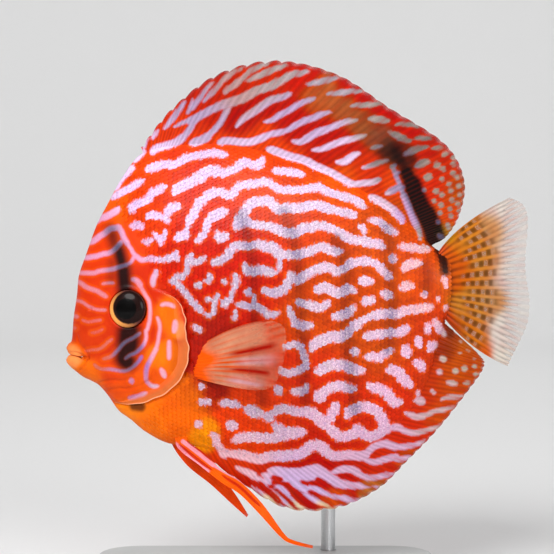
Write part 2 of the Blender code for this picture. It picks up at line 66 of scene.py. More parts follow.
camera_data = bpy.data.cameras.new("camera")
camera_data.lens = LENS
camera_data.sensor_width = 36.0
camera_data.clip_start = 0.01
camera = bpy.data.objects.new("camera", camera_data)
camera.location = Vector((CAMERA_X, CAMERA_Y, FISH_LEVEL)) * MM
camera.rotation_euler = (radians(90.0), 0.0, 0.0)
bpy.context.scene.collection.objects.link(camera)
bpy.context.scene.camera = camera


def side_chart(points):
    """Where points of the fish, in mm, are seen on its midplane from the camera's distance.
    The right flank uses the same rule from its own side, so both flanks can share one chart."""
    stretch = CAMERA_Y / (CAMERA_Y + np.abs(points[:, 1]))
    x = CAMERA_X + (points[:, 0] - CAMERA_X) * stretch
    level = (points[:, 2] - FISH_LEVEL) * stretch
    return x, level


# %% [markdown]
# ## Small tools
# Curves through a few chosen points give smooth outlines. A flat grid that is bent into place gives
# evenly spaced faces, which is the simplest clean start for skin, fins and flaps.

# %% Curves and grids
def along(rows, share):
    """Rows at shares from 0 to 1 of the way, on a smooth curve through every given row."""
    rows = np.asarray(rows, float)
    place = np.clip(np.asarray(share, float), 0.0, 1.0) * (len(rows) - 1)
    i = np.minimum(place.astype(int), len(rows) - 2)
    f = (place - i)[..., None]
    a = rows[np.maximum(i - 1, 0)]
    b = rows[i]
    c = rows[i + 1]
    d = rows[np.minimum(i + 2, len(rows) - 1)]
    bend = (2 * a - 5 * b + 4 * c - d) * f ** 2 + (3 * b - a - 3 * c + d) * f ** 3
    return b + 0.5 * ((c - a) * f + bend)


def smooth_step(low, high, value):
    t = np.clip((value - low) / (high - low), 0.0, 1.0)
    return t * t * (3.0 - 2.0 * t)


def coordinates(mesh):
    flat = np.empty(len(mesh.vertices) * 3, np.float32)
    mesh.vertices.foreach_get("co", flat)
    return flat.reshape(-1, 3).astype(float)


def set_coordinates(mesh, points):
    mesh.vertices.foreach_set("co", np.asarray(points, np.float32).ravel())
    mesh.update()


def normals(mesh):
    flat = np.empty(len(mesh.vertices) * 3, np.float32)
    mesh.vertex_normals.foreach_get("vector", flat)
    return flat.reshape(-1, 3).astype(float)


def store(mesh, name, values):
    """Keeps one number for each vertex, for the materials to read."""
    layer = mesh.attributes.new(name, "FLOAT", "POINT")
    layer.data.foreach_set("value", np.asarray(values, np.float32))


def as_piece(name, mesh, material, replaces=()):
    """A finished piece: it rides on the fish, wears its material and stands for its CAD nodes."""
    piece = bpy.data.objects.new(name, mesh)
    bpy.context.scene.collection.objects.link(piece)
    mesh.materials.append(material)
    mesh.shade_smooth()
    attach(piece, "root")
    if replaces:
        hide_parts(*replaces)
    print(name, "triangles", sum(len(face.vertices) - 2 for face in mesh.polygons))
    return piece


# %% [markdown]
# ## Material tools
# Colours are picked as the hex values that an artist sees on a screen. The render adds light in a
# linear scale, so each hex value is turned into that first.

# %% Node helper and colours
def linear(hex_colour):
    """A screen colour such as "c04020" in the linear values that the renderer adds up."""
    parts = [int(hex_colour[i:i + 2], 16) / 255.0 for i in (0, 2, 4)]
    lit = [c / 12.92 if c <= 0.04045 else ((c + 0.055) / 1.055) ** 2.4 for c in parts]
    return (*lit, 1.0)


def new_material(name):
    material = bpy.data.materials.new(name)
    material.use_nodes = True
    material.node_tree.nodes.clear()
    return material, material.node_tree


def add_node(tree, kind, inputs=(), **settings):
    """Adds a node. Inputs maps a socket to a value or to the output that feeds it."""
    made = tree.nodes.new(kind)
    for key, value in settings.items():
        setattr(made, key, value)
    for socket, value in dict(inputs).items():
        if isinstance(value, bpy.types.NodeSocket):
            tree.links.new(value, made.inputs[socket])
        else:
            made.inputs[socket].default_value = value
    return made


# %% [markdown]
# ## Markings
# Each pale ribbon is a stroke of a round brush: its half width, then the points that it runs through,
# as pixels of the photograph. The strokes are pressed into a chart of the fish's side that holds, for
# each spot, how far it is from the nearest ribbon's edge. A material can then turn that distance into a
# crisp edge, a soft edge or a halo. This keeps a painter's control without any picture file.

# %% Ribbons of the nape and flank
NAPE_RIBBONS = (
    (3.6, (133, 167), (127, 172), (122, 177), (118, 183), (115, 189)),
    (3.2, (112, 198), (119, 194), (126, 190), (132, 187), (138, 183), (142, 181)),
    (3.3, (134, 161), (139, 155), (144, 151)),
    (3.6, (152, 153), (156, 149), (165, 146), (172, 144), (178, 141), (182, 138)),
    (2.6, (182, 138), (186, 134), (190, 129), (193, 123), (198, 117)),
    (3.6, (147, 170), (152, 168), (158, 166), (165, 164), (172, 165), (178, 163), (184, 159), (190, 157)),
    (3.4, (190, 157), (198, 155.5), (206, 154), (214, 153), (221, 154), (226, 155)),
    (3.0, (132, 212), (131, 208)),
    (3.4, (131, 207), (136, 204), (142, 202), (148, 199), (152, 193), (158, 190), (164, 186)),
    (4.6, (174, 193), (176, 189), (180, 187), (185, 184), (190, 182), (196, 178), (200, 177)),
    (5.2, (200, 177), (204, 174), (209, 171), (216, 171)),
    (3.8, (216, 171), (223, 173), (229, 171), (235, 169), (241, 164), (246, 162), (252, 165), (259, 165)),
    (3.6, (259, 165), (262, 161), (263, 158)),
    (3.8, (191, 144), (196, 142), (202, 140), (207, 137)),
    (2.5, (207, 137), (212, 132), (217, 127), (222, 120), (225, 114), (229, 108)),
    (3.2, (219, 143), (224, 141), (231, 141), (240, 142), (250, 142), (257, 140), (264, 137)),
    (2.6, (264, 137), (271, 134), (278, 133), (285, 131)),
    (3.6, (268, 149), (275, 151), (283, 154), (292, 157), (300, 159), (308, 162), (315, 166), (322, 169)),
    (3.2, (322, 169), (330, 172), (337, 176), (344, 180), (351, 184)),
    (2.6, (351, 184), (357, 184), (365, 183), (373, 182), (380, 179)),
    (3.4, (274, 171), (281, 171), (289, 172), (297, 173), (303, 175)),
    (3.6, (147, 217), (152, 215), (157, 216)),
    (2.6, (157, 216), (162, 217), (166, 219), (168, 222)),
    (4.4, (167, 214), (170, 209), (175, 207), (179, 207)),
    (3.6, (131, 226), (136, 225), (142, 227)),
    (2.4, (153, 234), (157, 236), (160, 241)),
    (2.0, (161, 243), (163, 237), (166, 231)),
    (3.0, (144, 242), (148, 242), (151, 239)),
)
FLANK_RIBBONS = (
    (4.0, (197, 207), (199, 202), (203, 200), (207, 196), (213, 193), (219, 192), (225, 194), (231, 195)),
    (3.8, (231, 195), (235, 192), (237, 187), (243, 185), (250, 184), (258, 183), (265, 182), (271, 184)),
    (3.4, (271, 184), (276, 188), (281, 190), (288, 190), (296, 190), (304, 189), (312, 188), (319, 186)),
    (3.6, (319, 187), (325, 191), (331, 193), (338, 195), (345, 197), (352, 199), (358, 202), (364, 207)),
    (3.9, (197, 207), (195, 211), (192, 216), (190, 220)),
    (2.2, (190, 220), (188, 225), (186, 230), (186, 235)),
    (4.2, (185, 235), (181, 236), (176, 239)),
    (4.6, (250, 204), (254, 202), (261, 201), (268, 201), (273, 205), (279, 209), (285, 208)),
    (4.4, (285, 208), (292, 208), (300, 208), (308, 206), (316, 205), (323, 207), (330, 209)),
    (3.8, (330, 209), (337, 211), (343, 212), (350, 214), (355, 216)),
    (4.6, (249, 205), (245, 211), (241, 216), (239, 221)),
    (5.2, (235, 227), (239, 223), (244, 220)),
    (3.6, (244, 222), (251, 224), (258, 225), (265, 226), (271, 227), (276, 229)),
    (4.4, (276, 229), (283, 232), (291, 233), (298, 232), (303, 228), (309, 228), (316, 225)),
    (4.0, (316, 225), (323, 226), (330, 228), (337, 231), (343, 235), (350, 239), (357, 240), (364, 241)),
    (4.2, (364, 241), (371, 243), (378, 244), (383, 246)),
    (4.6, (225, 211), (219, 213), (213, 216)),
    (3.4, (213, 216), (208, 221), (206, 227), (204, 233), (200, 238), (197, 242)),
    (4.0, (217, 233), (219, 238), (224, 236), (227, 237)),
    (3.8, (212, 262), (217, 262), (222, 259), (227, 256), (230, 251), (234, 247), (240, 245)),
    (3.8, (240, 245), (247, 246), (254, 245), (261, 244)),
    (5.0, (262, 245), (267, 247), (273, 248), (277, 252)),
    (4.2, (277, 252), (283, 254), (289, 255), (296, 255), (303, 253), (310, 251), (316, 248)),
    (4.0, (316, 248), (323, 247), (330, 250), (336, 252), (340, 251)),
    (2.4, (278, 254), (279, 259), (279, 265), (278, 271)),
    (4.2, (244, 265), (248, 271), (254, 271), (261, 270), (268, 272), (274, 273)),
    (4.2, (263, 290), (268, 292), (274, 293), (280, 291), (285, 288), (288, 282), (290, 277)),
    (4.2, (290, 276), (294, 279), (300, 279), (305, 275), (310, 272), (317, 269), (324, 267), (331, 268)),
    (3.8, (331, 268), (336, 272), (341, 270), (346, 267), (350, 263), (357, 262), (364, 261), (371, 262)),
    (3.6, (371, 262), (376, 264), (380, 268), (384, 272), (388, 276), (391, 278)),
    (4.4, (315, 291), (320, 289), (325, 287), (330, 290), (336, 293), (342, 292), (348, 289), (353, 291)),
    (4.0, (297, 302), (303, 304), (309, 305), (315, 307), (320, 308), (325, 305), (328, 303)),
    (2.8, (288, 308), (290, 313), (292, 318), (294, 323)),
    (3.8, (294, 323), (300, 325), (306, 326), (312, 325)),
    (4.0, (333, 317), (339, 316), (346, 314), (351, 310), (353, 307)),
    (4.8, (361, 281), (367, 281), (370, 282)),
    (4.4, (363, 302), (368, 301), (373, 300)),
    (3.2, (356, 327), (359, 323), (364, 320), (370, 317), (376, 315)),
    (4.2, (376, 315), (383, 314), (390, 314), (397, 314), (404, 311), (411, 310), (418, 309), (424, 308)),
    (3.8, (424, 308), (431, 307)),
    (3.6, (370, 197), (375, 199), (381, 202), (387, 206), (393, 210), (399, 216), (403, 222)),
    (3.4, (370, 220), (375, 221), (380, 222), (385, 227), (390, 230), (396, 233)),
    (3.2, (360, 226), (363, 229), (365, 232)),
    (2.8, (387, 193), (392, 191), (398, 188), (404, 187)),
    (3.4, (400, 247), (406, 247), (413, 248), (421, 249), (429, 249)),
    (4.2, (391, 257), (394, 260)),
    (4.2, (403, 269), (406, 266), (411, 264), (416, 263), (420, 263)),
    (4.2, (401, 288), (406, 286), (412, 286)),
    (4.2, (382, 293), (387, 295), (391, 297)),
    (3.2, (423, 293), (425, 296)),
    (3.4, (438, 298), (438, 300)),
    (2.6, (444, 277), (445, 282), (446, 287)),
    (2.8, (445, 306), (446, 309)),
    (2.8, (187, 271), (187, 267), (188, 262), (190, 257), (191, 254)),
    (3.0, (190, 262), (195, 262), (200, 260), (204, 258)),
    (3.0, (174, 279), (178, 277), (182, 277)),
    (2.2, (182, 277), (185, 273), (187, 270)),
    (2.8, (172, 281), (177, 284), (181, 288), (184, 292), (188, 297), (192, 302), (197, 307), (202, 312)),
    (2.2, (205, 314), (209, 316), (213, 312), (214, 306), (215, 300), (218, 294)),
    (2.6, (206, 299), (209, 300)),
    (2.8, (193, 326), (197, 329), (201, 331)),
    (3.4, (197, 286), (200, 285)),
    (2.8, (209, 274), (210, 279), (206, 282)),
    (2.4, (224, 280), (224, 284)),
    (3.6, (234, 275), (236, 279), (235, 284)),
    (2.2, (235, 284), (233, 290), (231, 296), (229, 301)),
    (4.0, (226, 302), (224, 305)),
    (3.4, (246, 292), (250, 293)),
    (2.2, (254, 295), (254, 300), (254, 305)),
    (3.0, (237, 305), (243, 305), (249, 307), (255, 306), (260, 309), (265, 313), (271, 315), (278, 313)),
    (2.3, (235, 311), (235, 316), (233, 320)),
    (2.6, (153, 286), (153, 280), (155, 275), (157, 271)),
)
BELLY_RIBBONS = (
    (4.2, (311, 350), (313, 345), (317, 341)),
    (5.2, (317, 342), (323, 340), (329, 338), (335, 337), (341, 337)),
    (4.2, (341, 337), (347, 333), (351, 329), (354, 325)),
    (4.2, (353, 353), (356, 351)),
    (4.0, (364, 337), (370, 336), (376, 335), (382, 334), (389, 333), (396, 333), (402, 331), (408, 328)),
    (5.0, (317, 372), (321, 370), (326, 367), (333, 365), (340, 365), (347, 367), (354, 370), (362, 371)),
    (4.0, (366, 357), (372, 357), (378, 358), (383, 355), (388, 352), (391, 350)),
    (3.0, (283, 347), (289, 346), (295, 344), (299, 346), (302, 351), (304, 357), (306, 362), (305, 367)),
    (3.6, (303, 368), (297, 371), (291, 373), (285, 373), (280, 370)),
    (4.2, (276, 388), (279, 391), (280, 393)),
    (3.6, (292, 391), (298, 392), (304, 390), (307, 386)),
    (5.6, (318, 398), (321, 395)),
    (4.6, (321, 395), (326, 390), (333, 387), (340, 386), (347, 388), (354, 389)),
    (4.8, (369, 386), (374, 388), (380, 390), (386, 393), (390, 398), (394, 402), (400, 402)),
    (4.8, (388, 370), (394, 370), (399, 373), (402, 378), (406, 382), (411, 386)),
    (5.0, (336, 405), (333, 412)),
    (4.0, (332, 414), (329, 420), (326, 424)),
    (3.4, (220, 403), (226, 403), (233, 404), (239, 406)),
    (5.8, (247, 409), (254, 412), (260, 413)),
    (5.0, (265, 416), (271, 418)),
    (4.2, (272, 413), (278, 410), (285, 409), (292, 411), (299, 412), (306, 411)),
    (5.4, (308, 412), (314, 415), (320, 420), (325, 424)),
    (5.0, (349, 412), (355, 409), (362, 407), (370, 408), (377, 412), (382, 419), (385, 426)),
    (4.0, (346, 417), (350, 412)),
    (4.6, (385, 426), (381, 432), (374, 436), (367, 436), (360, 433), (353, 434), (346, 436)),
    (4.4, (354, 430), (360, 428)),
    (4.8, (346, 436), (339, 436), (333, 432), (328, 427)),
    (4.6, (274, 425), (280, 430), (287, 433)),
    (5.4, (287, 433), (295, 433), (303, 432)),
    (4.4, (234, 440), (240, 438), (247, 437), (255, 437), (263, 438), (271, 438), (279, 437), (287, 435)),
    (4.8, (229, 424), (234, 426)),
    (3.4, (212, 434), (216, 438), (217, 443), (220, 448), (224, 453)),
    (4.6, (224, 453), (231, 455), (239, 455), (247, 456), (254, 458), (261, 459), (268, 457), (276, 456)),
    (5.0, (276, 456), (284, 456), (292, 455), (300, 454), (306, 450), (312, 446), (319, 446), (325, 450)),
    (4.4, (325, 450), (331, 455), (338, 456), (345, 455), (352, 455), (359, 456), (365, 455)),
    (3.0, (365, 455), (369, 451), (373, 447), (378, 445), (384, 444), (391, 446), (398, 448)),
    (4.2, (384, 427), (388, 431)),
    (3.2, (390, 428), (396, 427), (402, 429)),
    (2.8, (427, 324), (428, 329), (427, 333)),
    (3.2, (418, 338), (418, 343), (420, 347)),
    (3.8, (435, 321), (437, 325), (440, 330)),
    (2.6, (440, 330), (445, 335)),
    (4.4, (429, 349), (432, 346), (435, 344)),
    (4.8, (403, 352), (406, 350), (406, 356)),
    (4.6, (415, 362), (420, 365), (423, 369)),
    (4.0, (417, 400), (423, 402)),
    (3.2, (432, 391), (434, 393)),
    (2.8, (441, 358), (445, 360)),
    (2.4, (438, 371), (441, 373)),
    (2.0, (418, 391), (418, 396)),
    (3.6, (197, 426), (199, 423)),
    (2.8, (199, 402), (205, 402), (210, 402)),
    (2.8, (201, 385), (202, 388)),
)
HEAD_LINES = (
    (3.2, (94, 223), (100, 218), (105, 217), (111, 214), (116, 211), (119, 208)),
    (2.8, (89, 243), (95, 240), (100, 236), (105, 233), (110, 229), (115, 228), (119, 228)),
    (2.6, (118, 227), (121, 231), (124, 238), (127, 243)),
    (1.9, (127, 243), (131, 249), (134, 254), (137, 257)),
    (2.4, (137, 257), (142, 260), (148, 259), (154, 259), (160, 260), (166, 259)),
    (3.0, (166, 259), (171, 257), (175, 255)),
    (1.8, (176, 252), (176, 256), (178, 260)),
    (2.4, (84, 258), (91, 257), (97, 256), (103, 254), (109, 253), (114, 250), (118, 246), (122, 241)),
    (2.1, (79, 273), (87, 273), (94, 273), (100, 271), (107, 270), (113, 269), (119, 267), (126, 265)),
    (1.5, (126, 265), (131, 262), (134, 257)),
    (2.2, (77, 281), (82, 284), (86, 287), (91, 289), (97, 291), (102, 294), (107, 297)),
    (1.3, (102, 284), (108, 283), (114, 283)),
    (1.4, (74, 300), (82, 302), (88, 306), (95, 309), (101, 310), (106, 310)),
    (2.2, (73, 316), (78, 317)),
    (1.4, (82, 320), (88, 322), (95, 321), (101, 320)),
    (2.0, (71, 328), (76, 328)),
    (1.6, (91, 333), (97, 332), (103, 329)),
    (1.5, (85, 351), (92, 350), (99, 349), (104, 346), (108, 342), (112, 339)),
    (1.8, (103, 359), (110, 357), (114, 354), (118, 350), (122, 345), (127, 341), (133, 338), (140, 333)),
    (1.6, (125, 359), (130, 355), (135, 353), (140, 349), (144, 344), (146, 338), (146, 331)),
    (1.6, (94, 364), (97, 367), (102, 369), (108, 369), (115, 370), (122, 371), (128, 370), (134, 366)),
    (1.6, (134, 366), (138, 362), (142, 356)),
    (2.6, (132, 279), (137, 281), (140, 285)),
    (1.6, (140, 285), (143, 291), (146, 296), (149, 301), (150, 308), (150, 316), (149, 323), (147, 330)),
    (1.5, (157, 317), (159, 322), (160, 328), (159, 335), (158, 342), (156, 349)),
    (2.1, (156, 349), (153, 355), (150, 361), (147, 367), (146, 373), (146, 379)),
    (1.8, (147, 382), (152, 386), (158, 386)),
    (2.0, (161, 305), (166, 304), (171, 305), (174, 307)),
    (2.7, (175, 321), (175, 327), (174, 332)),
    (2.0, (169, 341), (169, 347), (169, 353), (169, 359)),
    (2.6, (161, 369), (163, 373), (165, 377)),
    (2.2, (129, 398), (135, 397), (141, 395), (146, 393)),
    (2.6, (131, 379), (132, 383)),
)
DORSAL_STREAKS = (
    (3.4, (190, 121), (198, 117), (205, 113), (213, 109), (222, 105)),
    (4.2, (222, 105), (232, 102), (241, 99), (247, 96), (252, 93)),
    (3.8, (252, 93), (258, 90), (265, 88), (273, 85), (280, 81)),
    (3.1, (280, 81), (287, 77), (294, 74), (301, 73), (309, 71)),
    (1.6, (174, 127), (180, 124), (187, 121), (193, 120)),
    (1.5, (144, 149), (145, 143), (148, 138)),
    (1.9, (152, 139), (155, 134), (158, 130)),
    (2.6, (164, 129), (169, 123), (174, 117), (178, 111), (182, 106), (185, 101)),
    (1.7, (187, 114), (190, 109), (192, 104), (193, 99)),
    (2.0, (192, 108), (196, 103), (200, 98), (204, 92), (208, 87), (213, 82)),
    (2.2, (203, 102), (208, 97), (213, 92), (218, 86), (223, 80), (228, 76), (236, 71), (242, 68)),
    (2.8, (224, 94), (228, 89), (233, 86), (238, 82)),
    (2.2, (238, 82), (245, 76), (252, 70), (261, 66), (269, 63)),
    (2.7, (246, 81), (252, 79), (258, 76), (265, 73), (272, 70), (280, 67), (288, 65)),
    (3.4, (236, 127), (242, 120), (250, 114), (258, 109), (266, 103), (274, 99)),
    (2.9, (274, 99), (279, 98), (285, 96), (291, 93)),
    (2.5, (264, 122), (272, 120), (280, 115), (288, 111), (296, 106), (303, 102)),
    (1.9, (303, 102), (309, 100), (315, 98)),
    (2.6, (306, 84), (314, 83), (322, 81), (330, 79), (339, 77)),
    (2.5, (327, 94), (336, 93), (345, 92), (354, 91), (362, 91)),
    (2.3, (351, 106), (359, 105), (367, 105), (375, 104), (382, 104)),
    (3.2, (369, 119), (376, 119), (383, 120), (389, 121)),
    (2.1, (396, 125), (404, 124), (412, 125), (418, 127)),
    (2.7, (280, 132), (288, 130), (296, 125), (304, 121), (313, 118), (322, 114), (331, 112)),
    (3.3, (292, 141), (300, 142), (308, 138), (316, 133), (325, 130)),
    (2.6, (325, 130), (335, 126), (345, 122), (357, 120)),
    (2.8, (312, 150), (322, 149), (332, 145), (343, 141), (352, 139), (366, 135)),
    (3.4, (336, 162), (344, 162), (350, 158), (354, 155), (360, 153)),
    (1.9, (371, 148), (376, 147), (382, 146)),
    (2.4, (362, 168), (370, 166), (378, 163), (388, 160)),
    (1.9, (392, 167), (396, 165)),
    (1.6, (396, 174), (400, 172)),
    (2.8, (386, 194), (393, 190), (400, 187)),
    (3.2, (389, 132), (396, 135), (404, 139), (411, 141)),
    (2.1, (415, 139), (423, 138), (432, 139)),
    (2.8, (404, 155), (412, 151), (420, 148), (428, 147)),
    (3.4, (416, 167), (422, 163), (429, 161)),
    (2.1, (432, 148), (438, 148), (443, 147)),
)
MAUVE_STRIP = (
    (1.9, (393, 168), (397, 178), (401, 188), (404, 196)),
    (3.1, (404, 196), (408, 205), (411, 213), (415, 222), (419, 231), (421, 240)),
)
DORSAL_SPOTS = (
    (2.6, (443, 155), (447, 153)),
    (2.2, (452, 158), (455, 157)),
    (3.2, (437, 165)),
    (2.4, (443, 169)),
    (2.4, (452, 165), (455, 163)),
    (2.6, (453, 173)),
    (2.2, (457, 177)),
    (3.9, (426, 178), (430, 176)),
    (2.2, (442, 179)),
    (2.2, (449, 184)),
    (2.3, (459, 186)),
    (2.0, (424, 190)),
    (2.8, (436, 191)),
    (2.3, (442, 195)),
    (2.2, (451, 191)),
    (2.0, (460, 195)),
    (2.1, (434, 201)),
    (2.5, (441, 205)),
    (2.2, (452, 200)),
    (2.2, (458, 204)),
    (2.1, (440, 213)),
    (2.0, (450, 209)),
    (2.2, (451, 216)),
    (1.8, (459, 211)),
    (2.1, (438, 222)),
    (2.0, (447, 223), (449, 229)),
    (2.6, (438, 235), (443, 238)),
)
ANAL_STREAKS = (
    (3.2, (236, 467), (242, 470), (249, 473), (256, 477), (262, 481), (267, 486)),
    (4.6, (268, 471), (276, 470), (284, 472), (292, 473), (300, 473), (308, 471), (316, 469)),
    (3.4, (266, 478), (269, 483)),
    (4.6, (262, 475), (275, 476), (290, 477), (305, 476), (320, 475)),
    (4.4, (296, 483), (305, 488), (313, 491)),
    (4.0, (318, 469), (328, 476), (336, 482), (345, 486), (356, 487), (366, 487)),
    (1.6, (252, 486), (260, 492), (268, 498), (276, 504)),
    (1.6, (270, 489), (278, 496), (285, 502), (292, 508)),
    (1.8, (284, 493), (290, 499), (297, 505), (305, 509)),
    (1.8, (303, 493), (311, 498), (320, 503), (330, 506)),
    (3.2, (285, 478), (291, 480), (297, 484), (303, 488)),
    (3.0, (276, 486), (282, 490), (287, 494)),
    (4.4, (316, 469), (322, 473), (328, 477), (334, 480)),
    (3.2, (334, 480), (341, 483), (348, 485), (355, 487), (361, 488), (368, 489)),
    (3.2, (332, 473), (339, 470), (346, 469), (353, 470), (358, 473)),
    (2.4, (358, 473), (363, 476), (370, 478), (378, 477), (386, 475)),
    (3.2, (309, 487), (314, 489), (320, 492), (326, 495)),
    (2.4, (326, 495), (332, 497), (338, 498), (345, 498), (351, 500)),
    (2.8, (362, 458), (369, 461), (376, 462), (383, 460), (390, 458), (396, 457)),
    (2.8, (405, 413), (411, 415), (417, 417), (423, 416)),
    (2.0, (423, 416), (429, 414), (435, 411), (442, 410), (449, 408), (455, 407)),
    (2.0, (441, 400), (445, 398), (451, 397), (458, 397), (463, 396)),
    (2.4, (447, 382), (452, 383), (457, 384)),
    (1.6, (464, 383), (470, 383)),
    (2.5, (391, 428), (398, 428), (405, 431), (412, 433), (420, 432)),
    (1.9, (420, 432), (428, 430), (434, 428), (441, 425)),
    (2.5, (378, 446), (385, 442), (392, 445), (400, 447), (410, 446)),
    (1.9, (410, 446), (418, 444), (425, 440)),
    (2.2, (396, 459), (403, 459), (411, 456)),
    (2.0, (378, 477), (386, 476), (394, 474)),
    (1.9, (362, 488), (370, 489), (378, 487)),
    (1.9, (344, 499), (352, 501), (360, 500)),
    (2.6, (455, 332), (456, 333)),
    (2.8, (460, 341), (461, 342)),
    (2.6, (459, 353), (461, 353)),
    (1.8, (467, 350), (469, 351)),
    (2.2, (474, 359), (475, 359)),
    (2.6, (463, 368), (466, 369)),
    (2.6, (454, 370), (457, 372)),
    (1.8, (473, 367), (476, 366)),
    (1.8, (474, 375), (478, 374)),
    (1.7, (250, 490), (260, 497), (272, 503), (284, 509), (298, 511.5), (314, 512), (330, 510), (342, 506)),
)
RED_ISLANDS = (
    (2.0, (228, 459), (240, 462), (250, 465), (260, 468), (270, 465), (280, 464), (290, 466), (300, 464),
     (308, 461)),
    (3.0, (274, 478), (280, 480)),
    (2.0, (259, 468), (259, 475)),
    (1.5, (244, 478), (250, 482), (256, 486), (263, 490), (270, 495)),
    (2.0, (260, 483), (265, 487), (270, 491), (275, 496), (280, 502)),
    (1.9, (276, 490), (282, 495), (288, 500), (293, 505)),
    (2.2, (287, 485), (290, 490), (295, 495), (301, 500), (307, 504), (313, 507)),
    (2.0, (302, 482), (308, 484)),
    (1.2, (309, 482), (316, 481)),
    (2.8, (318, 480), (324, 483), (330, 488), (338, 491), (350, 492), (362, 492), (372, 490)),
    (2.3, (310, 492), (316, 495), (324, 498), (332, 501), (341, 503)),
    (2.0, (343, 476), (350, 477), (355, 478)),
    (2.3, (362, 481), (368, 484), (376, 483), (385, 481)),
)

# %% Dark marks, pelvic lines and folds
# Each dark group is a strength, how many mm its edge takes to fade, and its strokes.
DARK_GROUPS = (
    (0.85, 3.0, ((4.6, (395, 150), (402, 164)),)),
    (1.00, 1.6, ((6.4, (406, 172), (411, 182)),
                 (8.4, (412, 184), (418, 200), (425, 214)),
                 (9.2, (426, 214), (432, 227), (435, 237)))),
    (0.55, 3.2, ((4.0, (384, 150), (394, 156), (403, 163), (410, 171)),
                 (3.0, (390, 144), (400, 151), (410, 160)))),
    (0.98, 2.6, ((4.4, (118, 248), (121, 260), (123, 270)),
                 (5.6, (123, 268), (125, 291)))),
    (0.97, 2.8, ((6.4, (130, 326), (132, 334)),
                 (9.4, (129, 334), (128, 346)),
                 (7.0, (126, 350), (124, 358), (127, 362)))),
    (0.75, 2.8, ((3.8, (111, 230), (114, 242), (118, 254)),)),
    (0.45, 2.6, ((3.0, (113, 262), (112, 280)),)),
    (0.80, 1.1, ((3.6, (134, 406), (141, 407)),)),
    (0.95, 1.2, ((3.6, (439, 250), (442, 257), (444, 264), (445, 271)),)),
    (0.50, 1.6, ((3.0, (448, 322), (450, 334)),)),
)
BAR_SHADE = 0.40
BAR_FADE = 2.6
BARS = (
    (3.4, (240, 214), (246, 235), (252, 262), (254, 300), (256, 350), (262, 400)),
    (3.4, (284, 212), (292, 236), (297, 262), (299, 300), (302, 350), (306, 400)),
    (3.8, (336, 240), (344, 262), (346, 310), (349, 360), (354, 410)),
    (3.2, (386, 226), (389, 250), (391, 310), (388, 350)),
    (2.4, (426, 265), (426, 290)),
)
PELVIC_LINES = (
    (1.9, (183, 441.5), (191, 447.5), (198, 453), (206, 459.5), (213, 465)),
    (1.3, (213, 465), (220, 469), (227, 473), (235, 477)),
    (1.0, (235, 477), (243, 482.5), (250, 489), (257, 496), (263, 502)),
    (1.6, (176, 444), (182, 449.5), (189, 457), (198, 464), (208, 471)),
)
PELVIC_SHADES = (
    (1.3, (179, 444.5), (187, 451), (195, 457.5), (204, 464.5), (212, 470)),
    (1.0, (187, 441), (194, 446), (202, 452), (211, 460)),
    (1.3, (222, 475), (230, 480.5), (238, 485.5), (246, 492.5), (253, 499.5), (260, 506)),
)
FOLDS = (
    (0.4, (68, 353), (74, 353), (80, 355), (85, 359)),
    (0.4, (76, 336), (79, 344), (84, 350), (88, 358)),
    (0.4, (80, 371), (84, 365), (88, 360)),
    (0.4, (104, 392), (116, 389), (128, 389), (140, 386), (150, 380)),
    (0.4, (99, 383), (110, 381), (122, 381), (134, 378)),
    (0.5, (112, 402), (124, 405), (138, 403), (150, 401), (161, 397), (170, 389)),
)


# %% Charts of distances
CHART_STEP = 0.2
CHART_X = (-78.0, 96.0)
CHART_LEVEL = (-94.0, 78.0)
CHART_REACH = 4.0
JOINED_WITHIN = 1.1
LONGEST_TAPER = 0.45
ISLAND_SWELL = 0.24
chart_columns = round((CHART_X[1] - CHART_X[0]) / CHART_STEP) + 1
chart_rows = round((CHART_LEVEL[1] - CHART_LEVEL[0]) / CHART_STEP) + 1


def to_fish(pixels):
    """Pixels of the photograph as x and level in mm on the fish's midplane."""
    pixels = np.asarray(pixels, float)
    x = (pixels[:, 0] - PIXEL_X0) / PIXELS_PER_MM
    level = (PIXEL_Y0 - pixels[:, 1]) / PIXELS_PER_MM
    return np.stack((x, level), axis=1)


def stroke_samples(points):
    """Points close together on a stroke's curve. A stroke of one point is a dot."""
    length = np.linalg.norm(np.diff(points, axis=0), axis=1).sum()
    if length == 0.0:
        return points
    return along(points, np.linspace(0.0, 1.0, max(int(length / 0.35), 2)))


def narrowing(samples, length, tip, others):
    """The share of its width that a stroke has at each sample. It narrows over a length, in mm, to
    the share tip at each end that meets no other stroke."""
    share = np.ones(len(samples))
    if len(samples) == 1 or length == 0.0:
        return share
    steps = np.linalg.norm(np.diff(samples, axis=0), axis=1)
    gone = np.concatenate(([0.0], np.cumsum(steps)))
    length = min(length, LONGEST_TAPER * gone[-1])
    for end, way in ((samples[0], gone), (samples[-1], gone[-1] - gone)):
        if np.linalg.norm(others - end, axis=1).min() > JOINED_WITHIN:
            share = np.minimum(share, tip + (1.0 - tip) * np.sqrt(np.clip(way / length, 0.0, 1.0)))
    return share


